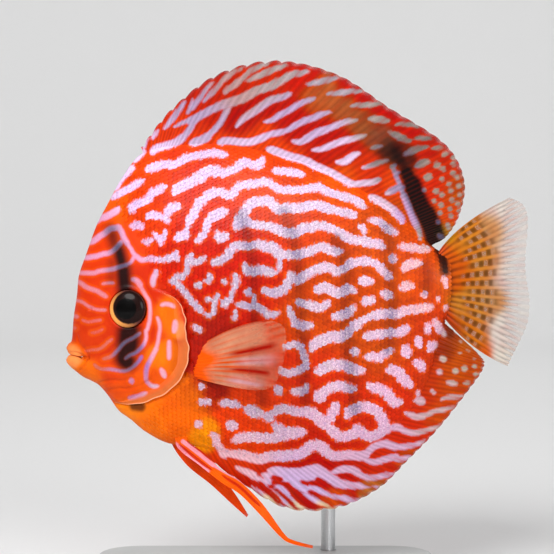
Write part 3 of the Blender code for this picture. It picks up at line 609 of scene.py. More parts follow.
def press_strokes(*groups, taper=0.0, tip=0.45):
    """The chart of distances in mm from the edge of the nearest stroke, negative inside it.
    Taper is how long a free end's narrowing is, in half widths."""
    chart = np.full((chart_rows, chart_columns), CHART_REACH)
    window = int(CHART_REACH * 2 / CHART_STEP)
    strokes = [stroke for group in groups for stroke in group]
    knots = [to_fish(pixels) for _, *pixels in strokes]
    far_away = np.full((1, 2), 999.0)
    for order, (half_pixels, *_) in enumerate(strokes):
        half = half_pixels / PIXELS_PER_MM
        samples = stroke_samples(knots[order])
        others = np.concatenate(knots[:order] + knots[order + 1:] + [far_away])
        for (x, level), share in zip(samples, narrowing(samples, taper * half, tip, others)):
            column = int((x - CHART_X[0]) / CHART_STEP)
            row = int((level - CHART_LEVEL[0]) / CHART_STEP)
            rows = slice(max(row - window, 0), row + window)
            columns = slice(max(column - window, 0), column + window)
            near = chart[rows, columns]
            dx = CHART_X[0] + CHART_STEP * np.arange(columns.start, columns.start + near.shape[1]) - x
            dz = CHART_LEVEL[0] + CHART_STEP * np.arange(rows.start, rows.start + near.shape[0]) - level
            away = np.sqrt(dz[:, None] ** 2 + dx[None, :] ** 2) - half * share
            np.minimum(near, away, out=near)
    return chart


def read_chart(chart, x, level):
    """The chart's value at each place, weighed between its four nearest cells."""
    column = np.clip((x - CHART_X[0]) / CHART_STEP, 0, chart_columns - 1.001)
    row = np.clip((level - CHART_LEVEL[0]) / CHART_STEP, 0, chart_rows - 1.001)
    i = row.astype(int)
    j = column.astype(int)
    fi = row - i
    fj = column - j
    low = chart[i, j] * (1 - fj) + chart[i, j + 1] * fj
    high = chart[i + 1, j] * (1 - fj) + chart[i + 1, j + 1] * fj
    return low * (1 - fi) + high * fi


def from_curve(curve, x, level):
    """How far each place is from a curve, in mm, negative on the right-hand side of its way."""
    samples = along(curve, np.linspace(0.0, 1.0, 160))
    ways = np.gradient(samples, axis=0)
    ways /= np.linalg.norm(ways, axis=1)[:, None]
    best = np.full(len(x), np.inf)
    signed = np.full(len(x), 99.0)
    for (px, pz), (wx, wz) in zip(samples, ways):
        dx = x - px
        dz = level - pz
        away = np.hypot(dx, dz)
        nearer = away < best
        best = np.where(nearer, away, best)
        signed = np.where(nearer, np.sign(wx * dz - wz * dx) * away, signed)
    return signed


def shade(strength, fade, strokes):
    """A chart of how dark a group of strokes is: its strength inside them, fading out around them."""
    return strength * (1.0 - smooth_step(-0.4 * fade, fade, press_strokes(strokes)))


pale_chart = np.minimum(
    press_strokes(NAPE_RIBBONS, FLANK_RIBBONS, BELLY_RIBBONS, HEAD_LINES, taper=1.3),
    press_strokes(DORSAL_STREAKS, DORSAL_SPOTS, MAUVE_STRIP, ANAL_STREAKS, taper=6.0, tip=0.15))
ribbon_chart = np.maximum(pale_chart, ISLAND_SWELL - press_strokes(RED_ISLANDS))
dark_chart = shade(BAR_SHADE, BAR_FADE, BARS)
for strength, fade, strokes in DARK_GROUPS:
    dark_chart = np.maximum(dark_chart, shade(strength, fade, strokes))
fold_chart = press_strokes(FOLDS)
print("charts of the side:", ribbon_chart.shape)

# %% [markdown]
# ## Colours of the regions
# A painter of fish models keeps a row of little pots: one red for the nape, one orange for the gill
# cover, and so on. Each pot here has a place on the side, how far it spreads, and its colour, and the
# paint at any spot is a mix of the pots near it. One row is the ground colour, the other the ribbons'.

# %% Paint pots
# The darkest reds just behind the gill edge, at about (192, 315) to (208, 390), are painted shade under the gill
# cover's free edge.
GROUND_POTS = (
    (96, 225, 22, "e03c0e"), (92, 290, 18, "d43810"), (130, 310, 16, "c82c0c"), (112, 205, 12, "f0601a"), (140, 170, 22, "e8440e"), (170, 150, 22, "e23a0e"),
    (150, 215, 18, "e44012"), (200, 190, 28, "d62a08"), (190, 240, 18, "c81e06"), (205, 335, 14, "981404"),
    (208, 390, 9, "a01c08"), (250, 165, 30, "e84410"), (340, 178, 20, "e85614"), (300, 215, 34, "d6420a"), (250, 260, 35, "c01600"),
    (330, 295, 35, "be420e"), (380, 250, 28, "c44c18"), (420, 255, 22, "cc5434"), (380, 340, 30, "bc4818"),
    (430, 340, 20, "c03a1a"), (330, 400, 40, "cc2c0a"), (260, 430, 28, "e23e0c"), (420, 400, 25, "d03012"),
    (300, 470, 40, "b80a0a"), (400, 440, 30, "cc2c14"),
    (204, 434, 7, "ff9c24"), (178, 414, 14, "f86c16"), (150, 425, 10, "ff7c1e"), (125, 412, 8, "ff8628"),
    (193, 398, 9, "de6414"), (197, 340, 14, "a81604"), (192, 315, 10, "b81c06"), (455, 270, 12, "c4581a"),
    (470, 240, 12, "c07830"), (480, 270, 14, "ba7834"), (478, 305, 14, "b87632"), (470, 335, 10, "bc6e2a"),
    (494, 230, 8, "b88450"), (494, 300, 9, "b88450"), (512, 225, 14, "cabfb6"), (514, 280, 15, "cac0b8"),
    (512, 325, 14, "c8bfb6"), (512, 358, 9, "c6bcb0"),
    (215, 95, 18, "c0200c"), (260, 75, 20, "cc2c14"), (300, 66, 14, "d01c10"),
    (440, 185, 12, "d62c10"), (456, 190, 10, "b85828"), (447, 215, 9, "d84a1c"),
    (446, 232, 6, "a8761c"), (330, 90, 9, "b8643a"), (318, 101, 10, "b85c34"), (345, 112, 10, "a85a34"),
    (365, 125, 10, "98502e"), (380, 135, 10, "7c4630"), (394, 152, 10, "502618"), (345, 83, 8, "c8140c"),
    (366, 97, 8, "c40e06"), (384, 112, 9, "c20c06"), (404, 128, 9, "c0140a"), (432, 143, 9, "c01e0c"),
    (445, 162, 9, "c82c10"), (300, 120, 14, "b80c04"), (238, 114, 12, "ac0604"), (262, 100, 9, "b40804"), (330, 133, 12, "b80c04"), (345, 150, 12, "be1606"),
    (325, 158, 10, "be1406"), (370, 172, 12, "d23010"), (395, 180, 8, "e0481c"), (430, 385, 12, "c03810"),
    (450, 385, 12, "c2501e"), (465, 360, 14, "c4541e"), (455, 335, 8, "984020"), (445, 350, 7, "8c3418"),
    (440, 415, 10, "c84e1e"), (285, 502, 8, "b42a1c"), (335, 503, 7, "d04a18"), (375, 492, 7, "b86c38"),
    (410, 460, 7, "c0501e"),
)
HEAD_POTS = (
    (92, 378, 9, "f0702c"), (108, 372, 9, "dc4214"), (120, 392, 9, "e05018"), (69, 355, 7, "f89860"),
    (85, 330, 16, "cc380e"), (120, 345, 14, "c4300c"), (150, 330, 10, "cc340e"), (168, 320, 9, "f07018"),
    (162, 355, 8, "f0761a"), (177, 355, 7, "d0622a"), (181, 330, 5, "f08848"), (152, 382, 8, "e4581a"),
)
# The ribbons' pots are whitest on the upper back and greyer at mid-flank. This is partly the ribbons' own colour
# and partly painted light from above.
PALE_POTS = (
    (140, 170, 40, "eccaf0"), (100, 240, 25, "d896b4"), (96, 300, 20, "d07c84"), (90, 335, 12, "cc5a48"), (106, 352, 8, "c86858"), (128, 352, 10, "8c64a8"), (124, 372, 8, "b87896"),
    (160, 330, 15, "e29cae"), (220, 180, 40, "e2c2e2"), (300, 160, 40, "eccdec"), (290, 230, 50, "d4bacc"),
    (250, 300, 40, "bba4b6"), (360, 260, 40, "dfbdd0"), (420, 270, 25, "e8aaaa"), (340, 340, 40, "dab8c8"),
    (400, 380, 30, "e6b2ca"), (260, 410, 30, "cbadbf"), (320, 440, 35, "e6b4ca"), (240, 455, 25, "f4bec8"),
    (300, 490, 30, "ceb2de"), (380, 470, 30, "d6aac6"), (440, 410, 20, "caa8a8"), (465, 360, 14, "ccb4a0"),
    (200, 110, 25, "b49cbc"), (230, 85, 20, "bc948e"), (270, 70, 20, "b4a29e"), (330, 85, 20, "b2a4ac"),
    (380, 115, 18, "a89890"), (300, 120, 25, "ba9cc2"), (400, 150, 18, "85756c"), (450, 175, 16, "a89080"), (436, 195, 12, "a48c7c"),
    (430, 230, 10, "9c9086"), (415, 215, 9, "c49cc6"), (403, 180, 7, "a48cac"), (470, 360, 14, "a89c8c"),
    (270, 503, 5, "f0d8b0"), (298, 511, 6, "f2dcb4"), (325, 511, 6, "f0cca0"),
)
GILL_EDGE = (
    (-36.0, -4.0), (-30.0, -6.5), (-27.5, -9.5), (-26.5, -13.5), (-26.3, -17.5), (-25.5, -21.5),
    (-25.5, -25.5), (-26.5, -30.5), (-30.5, -35.5), (-35.5, -39.0), (-41.0, -41.0), (-46.5, -41.8),
    (-51.0, -41.5),
)
GILL_SPREAD = 1.022
# The gill edge stands about 11 mm off the midplane, where the side chart spreads it a little.
GILL_EDGE_SEEN = np.array(GILL_EDGE) * GILL_SPREAD + (CAMERA_X * (1.0 - GILL_SPREAD), 0.0)
FRONT_OF_TRUNK = -15.0
PELVIC_ORANGE = linear("fa6420")[:3]
PELVIC_PINK = linear("f0a0b0")[:3]


def mix_pots(pots, x, level, strength=1.0):
    """The colour of each place, from every pot weighed by how near its spot is, and the weights' sum."""
    total = np.zeros(len(x))
    colour = np.zeros((len(x), 3))
    for pixel_x, pixel_y, reach, hex_colour in pots:
        spot_x, spot_level = to_fish([(pixel_x, pixel_y)])[0]
        spread = reach / PIXELS_PER_MM
        away = ((x - spot_x) ** 2 + (level - spot_level) ** 2) / spread ** 2
        weight = strength * (np.exp(-away) / spread ** 2 + 1e-7 / (1.0 + away))
        total += weight
        colour += weight[:, None] * linear(hex_colour)[:3]
    return colour, total


def store_colour(mesh, name, colours):
    layer = mesh.attributes.new(name, "FLOAT_COLOR", "POINT")
    layer.data.foreach_set("color", np.hstack((colours, np.ones((len(colours), 1)))).astype(np.float32).ravel())


def flank_chart(points):
    """The side chart, with the right flank's ribbons shifted a little, as two flanks are never twins."""
    x, level = side_chart(points)
    share = np.clip(points[:, 1] / 8.0, 0.0, 1.0) * smooth_step(-22.0, -10.0, x)
    return x + 1.5 * share * np.sin(level / 9.0), level + 1.2 * share * np.sin(x / 11.0)


def mark(mesh, points):
    """Stores on a mesh what the paint needs at each point: distances, darkness and pot colours."""
    x, level = side_chart(points)
    store(mesh, "ribbon", read_chart(ribbon_chart, *flank_chart(points)))
    store(mesh, "dark", read_chart(dark_chart, x, level))
    behind = np.where(x > FRONT_OF_TRUNK, 9.0, from_curve(GILL_EDGE_SEEN, x, level))
    on_head = smooth_step(0.3, -0.3, behind)
    head_colour, head_weight = mix_pots(HEAD_POTS, x, level, on_head)
    body_colour, body_weight = mix_pots(GROUND_POTS, x, level)
    ground = (head_colour + body_colour) / (head_weight + body_weight)[:, None]
    store_colour(mesh, "ground", ground)
    pale, weight = mix_pots(PALE_POTS, x, level)
    store_colour(mesh, "pale", pale / weight[:, None])


# %% [markdown]
# ## Fish paint
# A real discus has a wet, slimy skin over its scales, so a model maker paints the colours and then
# gives them a clear satin varnish. The red is deepest midway between the ribbons and turns orange
# close to them, and every scale is a touch lighter or darker than the next. The same paint, thinner and
# with fine ray lines, makes the fins, which let light through where they are clear.

# %% Painted and varnished skin, and fins
def fish_paint(name, on_fin=False):
    material, tree = new_material(name)
    ribbon = add_node(tree, "ShaderNodeAttribute", attribute_name="ribbon").outputs["Fac"]
    dark = add_node(tree, "ShaderNodeAttribute", attribute_name="dark").outputs["Fac"]
    tone = add_node(tree, "ShaderNodeAttribute", attribute_name="tone").outputs["Fac"]
    ground = add_node(tree, "ShaderNodeAttribute", attribute_name="ground").outputs["Color"]
    pale = add_node(tree, "ShaderNodeAttribute", attribute_name="pale").outputs["Color"]
    place = add_node(tree, "ShaderNodeTexCoord").outputs["Object"]
    patches = add_node(tree, "ShaderNodeTexNoise", {"Vector": place, "Scale": 1 / (5 * MM), "Detail": 3.0})
    columns = add_node(tree, "ShaderNodeMapping", {"Vector": place, "Scale": (1.0, 1.0, 1.0 if on_fin else 0.4)})
    fine = add_node(tree, "ShaderNodeTexNoise",
                    {"Vector": columns.outputs[0], "Scale": 1 / (0.8 * MM), "Detail": 2.0})

    # The ribbon's edge wanders by a fraction of a scale, and is softer on a fin. On the flank the noise is
    # drawn out upwards, because the scales' columns make the edges look combed.
    ragged = add_node(tree, "ShaderNodeAttribute", attribute_name="ragged").outputs["Fac"]
    waver = add_node(tree, "ShaderNodeMath", {0: fine.outputs["Fac"], 1: 0.5}, operation="SUBTRACT")
    wander = add_node(tree, "ShaderNodeMath", {0: waver.outputs[0], 1: ragged, 2: ribbon},
                      operation="MULTIPLY_ADD")
    if on_fin:
        edge = (0.66, -0.34)
    else:
        inner = add_node(tree, "ShaderNodeMapRange", {0: ragged, 1: 0.35, 2: 1.0, 3: -0.45, 4: -0.20})
        edge = (0.60, inner.outputs[0])
    inside = add_node(tree, "ShaderNodeMapRange", {0: wander.outputs[0], 1: edge[0], 2: edge[1]},
                      interpolation_type="SMOOTHSTEP")
    # Orange glow beside a ribbon, deep red far from one.
    glow = add_node(tree, "ShaderNodeMapRange", {0: ribbon, 1: 1.2, 2: 0.2, 3: 0.0, 4: 0.10 if on_fin else 0.36})
    warm = add_node(tree, "ShaderNodeMix", {0: glow.outputs[0], 6: ground, 7: linear("f07018")},
                    data_type="RGBA")
    deep = add_node(tree, "ShaderNodeMapRange", {0: patches.outputs["Fac"], 1: 0.35, 2: 0.7, 3: 0.0, 4: 0.30})
    rich = add_node(tree, "ShaderNodeMix", {0: deep.outputs[0], 6: warm.outputs[2], 7: linear("a81000")},
                    data_type="RGBA")
    # Ribbons glitter: painted highlights turn most scales near white, and some scales are grey violet.
    glitter = add_node(tree, "ShaderNodeTexNoise", {"Vector": place, "Scale": 1 / (0.45 * MM), "Detail": 1.0})
    spark = add_node(tree, "ShaderNodeMath", {0: tone, 1: 0.35, 2: glitter.outputs["Fac"]},
                     operation="MULTIPLY_ADD")
    violets = add_node(tree, "ShaderNodeMapRange", {0: ragged, 1: 0.8, 2: 1.5, 3: 0.12, 4: 0.55})
    violet = add_node(tree, "ShaderNodeMapRange",
                      {0: spark.outputs[0], 1: 0.58, 2: 0.85, 3: 0.0, 4: violets.outputs[0]})
    barred = add_node(tree, "ShaderNodeMath", {0: dark, 1: 1.0, 2: violet.outputs[0]},
                      operation="MULTIPLY_ADD", use_clamp=True)
    tinted = add_node(tree, "ShaderNodeMix", {0: barred.outputs[0], 6: pale, 7: linear("867a9e")},
                      data_type="RGBA")
    # Painted highlight: near-white glints stand in for light caught by the ribbons' scales. They are faint on the
    # head, fins and breast.
    painted_glint_amount = add_node(tree, "ShaderNodeMapRange", {0: ragged, 1: 0.8, 2: 1.5, 3: 0.08, 4: 0.45})
    painted_glint = add_node(tree, "ShaderNodeMapRange",
                     {0: spark.outputs[0], 1: 0.62, 2: 0.46, 3: 0.0, 4: painted_glint_amount.outputs[0]})
    ribbon_tone = add_node(tree, "ShaderNodeMix", {0: painted_glint.outputs[0], 6: tinted.outputs[2],
                                                   7: linear("f6eefa")}, data_type="RGBA")
    painted = add_node(tree, "ShaderNodeMix",
                       {0: inside.outputs[0], 6: rich.outputs[2], 7: ribbon_tone.outputs[2]}, data_type="RGBA")
    # Dark marks cover the ground and show half as strongly through a ribbon.
    spared = add_node(tree, "ShaderNodeMath", {0: inside.outputs[0], 1: -0.35, 2: 1.0}, operation="MULTIPLY_ADD")
    darkness = add_node(tree, "ShaderNodeMath", {0: dark, 1: spared.outputs[0]}, operation="MULTIPLY")
    marked = add_node(tree, "ShaderNodeMix",
                      {0: darkness.outputs[0], 6: painted.outputs[2], 7: linear("060203")}, data_type="RGBA")
    grain = add_node(tree, "ShaderNodeMath", {0: ragged, 1: 0.55}, operation="MULTIPLY")
    combed = add_node(tree, "ShaderNodeMath", {0: waver.outputs[0], 1: grain.outputs[0], 2: tone},
                      operation="MULTIPLY_ADD")
    lowest, highest = (0.46, 0.92) if on_fin else (0.74, 1.20)
    value = add_node(tree, "ShaderNodeMapRange", {0: combed.outputs[0], 1: 0.0, 2: 1.0, 3: lowest, 4: highest})
    toned = add_node(tree, "ShaderNodeHueSaturation",
                     {"Saturation": 1.04 if on_fin else 1.06, "Value": value.outputs[0],
                      "Color": marked.outputs[2]})
    colour = toned.outputs["Color"]
    pores = add_node(tree, "ShaderNodeBump", {"Height": fine.outputs["Fac"], "Strength": 0.3,
                                              "Distance": 0.08 * MM})
    rough = add_node(tree, "ShaderNodeMapRange", {0: inside.outputs[0], 3: 0.48, 4: 0.32})
    settings = {"Roughness": rough.outputs[0], "Specular IOR Level": 0.08 if on_fin else 0.12,
                "Coat Weight": 0.04 if on_fin else 0.07, "Coat Roughness": 0.15, "IOR": 1.4,
                "Normal": pores.outputs["Normal"]}
    if on_fin:
        ray = add_node(tree, "ShaderNodeAttribute", attribute_name="ray").outputs["Fac"]
        clear = add_node(tree, "ShaderNodeAttribute", attribute_name="clear").outputs["Fac"]
        ray_share = add_node(tree, "ShaderNodeMapRange", {0: ray, 1: 0.35, 2: 1.0, 3: 0.0, 4: 0.60})
        lined = add_node(tree, "ShaderNodeMix", {0: ray_share.outputs[0], 6: colour, 7: linear("d05c48")},
                         data_type="RGBA", blend_type="MULTIPLY")
        colour = lined.outputs[2]
        solid = add_node(tree, "ShaderNodeMath", {0: 1.0, 1: clear}, operation="SUBTRACT")
        settings["Alpha"] = solid.outputs[0]
    shader = add_node(tree, "ShaderNodeBsdfPrincipled", {"Base Color": colour, **settings})
    add_node(tree, "ShaderNodeOutputMaterial", {"Surface": shader.outputs[0]})
    return material


skin_paint = fish_paint("varnished_fish_skin")
fin_paint = fish_paint("thin_varnished_fin_skin", on_fin=True)

# %% [markdown]
# ## The skin
# The body is one skin from the lips to the root of the tail. It could be sculpted, but a row of
# cross-sections that a smooth curve joins is easier to measure and to correct. Each section is two
# half ellipses, pinched towards the back and the belly. At the front the rows turn inwards like the
# top of a sock, which makes the lips and the inside of the mouth.

# %% Sections of the body
SKIN_INSET = 0.3
MOUTH_ROWS = (
    (-59.5, -26.5, -59.5, -26.6, -58.5, -26.6, 1.0, 1.00, 1.00),
    (-62.0, -26.5, -62.0, -26.1, -59.5, -26.8, 2.0, 1.00, 1.00),
    (-64.2, -26.1, -64.2, -25.6, -60.2, -26.8, 2.8, 1.00, 1.00),
    (-65.5, -25.8, -65.6, -25.9, -60.2, -26.8, 3.2, 1.00, 1.00),
    (-66.4, -23.7, -66.6, -27.8, -60.0, -26.8, 3.7, 1.00, 1.00),
    (-65.7, -22.0, -65.3, -29.9, -59.6, -26.8, 4.4, 1.05, 1.00),
    (-64.7, -20.9, -62.9, -31.9, -58.5, -26.6, 5.3, 1.10, 1.00),
)
BODY_ROWS = (
    (-64.3, -16.2, -61.9, -32.7, -58.2, -25.9, 5.7, 1.12, 1.02),
    (-64.0, -12.7, -60.3, -33.8, -57.3, -25.0, 6.4, 1.15, 1.05),
    (-63.0, -6.0, -57.7, -35.0, -55.0, -22.7, 7.6, 1.20, 1.10),
    (-62.3, 0.7, -55.3, -36.5, -52.3, -20.3, 8.6, 1.25, 1.10),
    (-59.7, 8.3, -52.3, -40.0, -48.3, -18.3, 9.6, 1.30, 1.15),
    (-56.4, 17.4, -49.0, -44.7, -43.0, -16.7, 10.6, 1.40, 1.20),
    (-53.0, 24.0, -45.0, -47.7, -37.7, -15.0, 11.5, 1.45, 1.25),
    (-47.9, 33.2, -39.7, -52.0, -31.0, -13.7, 12.3, 1.50, 1.30),
    (-41.2, 41.4, -32.3, -55.7, -23.3, -12.3, 12.9, 1.60, 1.35),
    (-30.0, 45.3, -23.3, -56.7, -14.3, -10.7, 13.0, 1.70, 1.45),
    (-14.3, 45.7, -11.7, -59.7, -3.3, -9.3, 12.7, 1.70, 1.55),
    (1.7, 42.8, 3.3, -63.3, 8.3, -8.0, 12.0, 1.70, 1.60),
    (17.0, 38.0, 19.0, -63.0, 20.0, -7.3, 10.8, 1.65, 1.60),
    (31.7, 30.5, 33.7, -58.3, 31.7, -6.7, 9.3, 1.55, 1.55),
    (43.0, 23.0, 45.7, -49.0, 42.3, -5.3, 7.5, 1.45, 1.45),
    (51.0, 15.7, 53.7, -36.7, 51.7, -4.3, 5.7, 1.35, 1.35),
    (56.3, 10.3, 57.7, -23.3, 57.7, -3.3, 4.1, 1.25, 1.25),
    (61.0, 7.4, 61.2, -11.6, 61.7, -2.3, 2.7, 1.20, 1.20),
)
SKIN_ROWS = MOUTH_ROWS + BODY_ROWS
RINGS = 300
ROUND = 328
ROUND_MIX = 0.65


def skin_point(share, turn):
    """Points of the skin in mm. Share goes from inside the mouth to the tail, and turn from 0 at the
    back down the left flank to 0.5 at the belly and up the right flank to 1."""
    back_x, back_z, belly_x, belly_z, side_x, side_z, half, above, below = along(SKIN_ROWS, share).T
    half_turn = np.where(turn <= 0.5, turn, 1.0 - turn) * 2.0
    even = 1.0 - 2.0 * half_turn
    rise = ROUND_MIX * even + (1.0 - ROUND_MIX) * np.cos(np.pi * half_turn)
    upper = rise > 0.0
    reach = np.abs(rise)
    end_x = np.where(upper, back_x, belly_x)
    end_z = np.where(upper, back_z, belly_z)
    lean = np.where(upper, above, below)
    thick = half * np.sqrt(np.maximum(1.0 - rise ** 2, 0.0)) ** lean
    side = np.where(turn <= 0.5, -1.0, 1.0)
    x = side_x + (end_x - side_x) * reach
    z = side_z + (end_z - side_z) * reach + FISH_LEVEL
    return np.stack((x, side * thick, z), axis=1)


def ring_share(u):
    """Spaces the rings: close together in the head, wider along the trunk."""
    ring_gaps = np.concatenate((np.full(7, 0.55), np.linspace(1.3, 1.9, 6), np.full(11, 3.0)))
    ring_gaps[:2] = 0.5
    placed = np.concatenate(([0.0], np.cumsum(ring_gaps)))
    return np.interp(u * placed[-1], placed, np.linspace(0.0, 1.0, len(placed)))


# %% [markdown]
# ## Relief of the head
# The head is where a viewer looks first. The eye sits in a socket with a low rim, the gill cover ends
# in a free edge that stands off the flank, and folds run behind the lips and under the cheek. They are
# pushed in or out along the skin's own normals, as a sculptor would with a brush.

# %% Relief
EYE_X = -44.8
EYE_LEVEL = -10.4
EYE_RADIUS = 6.1
SOCKET_RADIUS = 6.05
SOCKET_DEPTH = 3.4
RIM_RADIUS = 6.7
RIM_RISE = 0.35
CHEEK_EDGE = (
    (-35.2, -9.0), (-34.3, -15.5), (-35.0, -21.5), (-37.5, -28.0), (-40.5, -33.5), (-44.5, -37.5),
    (-48.5, -39.5),
)
GILL_RISE = 0.9
NOSTRIL = (-57.5, -10.5)


def head_relief(points):
    """How far the skin stands out at each point, in mm."""
    x = points[:, 0]
    level = points[:, 2] - FISH_LEVEL
    from_eye = np.hypot(x - EYE_X, level - EYE_LEVEL)
    socket = -SOCKET_DEPTH * smooth_step(SOCKET_RADIUS + 0.25, SOCKET_RADIUS - 0.35, from_eye)
    rim = RIM_RISE * np.exp(-((from_eye - RIM_RADIUS) / 0.75) ** 2)
    near_gill = (x > -56.0) & (x < -20.0) & (level < 2.0) & (level > -48.0)
    behind = np.full(len(x), 99.0)
    behind[near_gill] = from_curve(GILL_EDGE, x[near_gill], level[near_gill])
    cover = GILL_RISE * smooth_step(-37.0, -27.0, x) * smooth_step(0.35, -0.1, behind) * (behind < 50.0)
    groove = -0.35 * np.exp(-((behind - 0.75) / 0.4) ** 2)
    cheek = np.full(len(x), 99.0)
    cheek[near_gill] = from_curve(CHEEK_EDGE, x[near_gill], level[near_gill])
    step = 0.28 * smooth_step(1.4, 0.0, np.abs(cheek - 1.2)) * (cheek < 50.0) * smooth_step(-42.0, -38.0, level)
    from_nostril = np.hypot(x - NOSTRIL[0], level - NOSTRIL[1])
    nostril = -0.55 * np.exp(-(from_nostril / 0.55) ** 2) + 0.18 * np.exp(-((from_nostril - 1.0) / 0.35) ** 2)
    chart_x, chart_level = side_chart(points)
    folds = -0.32 * np.exp(-(np.maximum(read_chart(fold_chart, chart_x, chart_level), 0.0) / 0.32) ** 2)
    on_side = smooth_step(0.6, 2.2, np.abs(points[:, 1]))
    return socket + (rim + cover + groove + step + nostril + folds) * on_side


# %% Skin mesh
def bent_grid(name, columns, rows, place):
    """A grid of faces whose corners go to place(u, v) in mm, with u and v from 0 to 1."""
    bm = bmesh.new()
    bmesh.ops.create_grid(bm, x_segments=columns, y_segments=rows, size=1.0)
    mesh = bpy.data.meshes.new(name)
    bm.to_mesh(mesh)
    bm.free()
    flat = coordinates(mesh)
    u = (flat[:, 0] + 1.0) / 2.0
    v = (flat[:, 1] + 1.0) / 2.0
    set_coordinates(mesh, place(u, v) * MM)
    store(mesh, "share", u)
    store(mesh, "turn", v)
    return mesh


def make_skin_mesh():
    mesh = bent_grid("skin", RINGS, ROUND, lambda u, v: skin_point(ring_share(u), v))
    bm = bmesh.new()
    bm.from_mesh(mesh)
    bmesh.ops.remove_doubles(bm, verts=bm.verts, dist=0.002 * MM)
    rim = [edge for edge in bm.edges if edge.is_boundary]
    ends = bmesh.ops.holes_fill(bm, edges=rim, sides=0)["faces"]
    bmesh.ops.poke(bm, faces=ends)
    bmesh.ops.recalc_face_normals(bm, faces=bm.faces)
    bm.to_mesh(mesh)
    bm.free()
    points = coordinates(mesh) / MM
    out = head_relief(points) - SKIN_INSET
    set_coordinates(mesh, (points + normals(mesh) * out[:, None]) * MM)
    return mesh


skin_mesh = make_skin_mesh()
mark(skin_mesh, coordinates(skin_mesh) / MM)
store(skin_mesh, "tone", np.full(len(skin_mesh.vertices), 0.5))
store(skin_mesh, "ragged", np.full(len(skin_mesh.vertices), 0.35))
skin = as_piece("skin", skin_mesh, skin_paint,
                ("upper_jaw", "lower_jaw", "head", "gill_cover_left", "gill_cover_right",
                 "breast", "trunk", "tail_root"))

# %% [markdown]
# ## Finding the skin
# Eyes, gill flaps and scales all sit on the skin. A straight line shot across the fish finds where it
# meets the flank, and which way the skin faces there.

# %% Places on the skin
skin_shape = bmesh.new()
skin_shape.from_mesh(skin_mesh)
skin_tree = BVHTree.FromBMesh(skin_shape)
skin_shape.free()
SHOT_FROM = 60.0


def on_skin(x, level, side):
    """Place in mm, normal and face of the skin on one flank, or None where the line misses it."""
    start = Vector((x, side * SHOT_FROM, level + FISH_LEVEL)) * MM
    place, facing, face, _ = skin_tree.ray_cast(start, Vector((0.0, -side, 0.0)))
    if place is None:
        return None
    return np.array(place) / MM, np.array(facing), face


# %% [markdown]
# ## Fins
# A fin is a thin skin stretched over rays that run from its root to its margin. Spines at the front end
# in points with the skin cut back between them, and the soft rays behind fork and end evenly. One flat
# grid, given two sides and a rim by an extrusion, is bent to the shape, and the rays are ridges in it.

# %% Fin plates
FIN_EDGE_HALF = 0.10
RAY_HALF = 0.13
COLUMNS_PER_RAY = 8
FIN_ROOT_SINK = 2.6


def bent_plate(name, columns, rows, sheet, half_at):
    """A thin closed plate. sheet(u, v) gives its middle surface in mm, and half_at(u, v) half its
    thickness. Returns the mesh with each corner's u, v and place."""
    bm = bmesh.new()
    bmesh.ops.create_grid(bm, x_segments=columns, y_segments=rows, size=1.0)
    back = bmesh.ops.extrude_face_region(bm, geom=bm.faces[:])["geom"]
    back_corners = [part for part in back if isinstance(part, bmesh.types.BMVert)]
    bmesh.ops.translate(bm, verts=back_corners, vec=(0.0, 0.0, 1.0))
    mesh = bpy.data.meshes.new(name)
    bm.to_mesh(mesh)
    bm.free()
    flat = coordinates(mesh)
    u = (flat[:, 0] + 1.0) / 2.0
    v = (flat[:, 1] + 1.0) / 2.0
    side = np.where(flat[:, 2] > 0.5, 1.0, -1.0)
    step = 0.002
    middle = sheet(u, v)
    down = sheet(np.minimum(u + step, 1.0), v) - sheet(np.maximum(u - step, 0.0), v)
    over = sheet(u, np.minimum(v + step, 1.0)) - sheet(u, np.maximum(v - step, 0.0))
    out = np.cross(down, over)
    out /= np.maximum(np.linalg.norm(out, axis=1), 1e-9)[:, None]
    points = middle + out * (side * half_at(u, v))[:, None]
    set_coordinates(mesh, points * MM)
    bm = bmesh.new()
    bm.from_mesh(mesh)
    bmesh.ops.recalc_face_normals(bm, faces=bm.faces)
    bm.to_mesh(mesh)
    bm.free()
    return mesh, u, v, points


def ray_gap(u, rays):
    """0 on a ray and 1 midway between two, for rays spaced evenly over u."""
    order = u * (rays - 1)
    return 2.0 * np.abs(order - np.round(order))


def finish_fin(name, mesh, points, ray, clear, replaces, colours=None, tone=0.5):
    mark(mesh, points)
    if colours is not None:
        for key in ("ground", "pale", "ribbon", "dark"):
            if key in colours:
                layer = mesh.attributes[key]
                mesh.attributes.remove(layer)
        for key in ("ground", "pale"):
            if key in colours:
                store_colour(mesh, key, colours[key])
        for key in ("ribbon", "dark"):
            if key in colours:
                store(mesh, key, colours[key])
    store(mesh, "ray", ray)
    store(mesh, "clear", clear)
    store(mesh, "tone", np.broadcast_to(tone, len(mesh.vertices)))
    store(mesh, "ragged", np.full(len(mesh.vertices), 0.6))
    piece = as_piece(name, mesh, fin_paint, replaces)
    mesh.set_sharp_from_angle(angle=radians(55.0))
    return piece


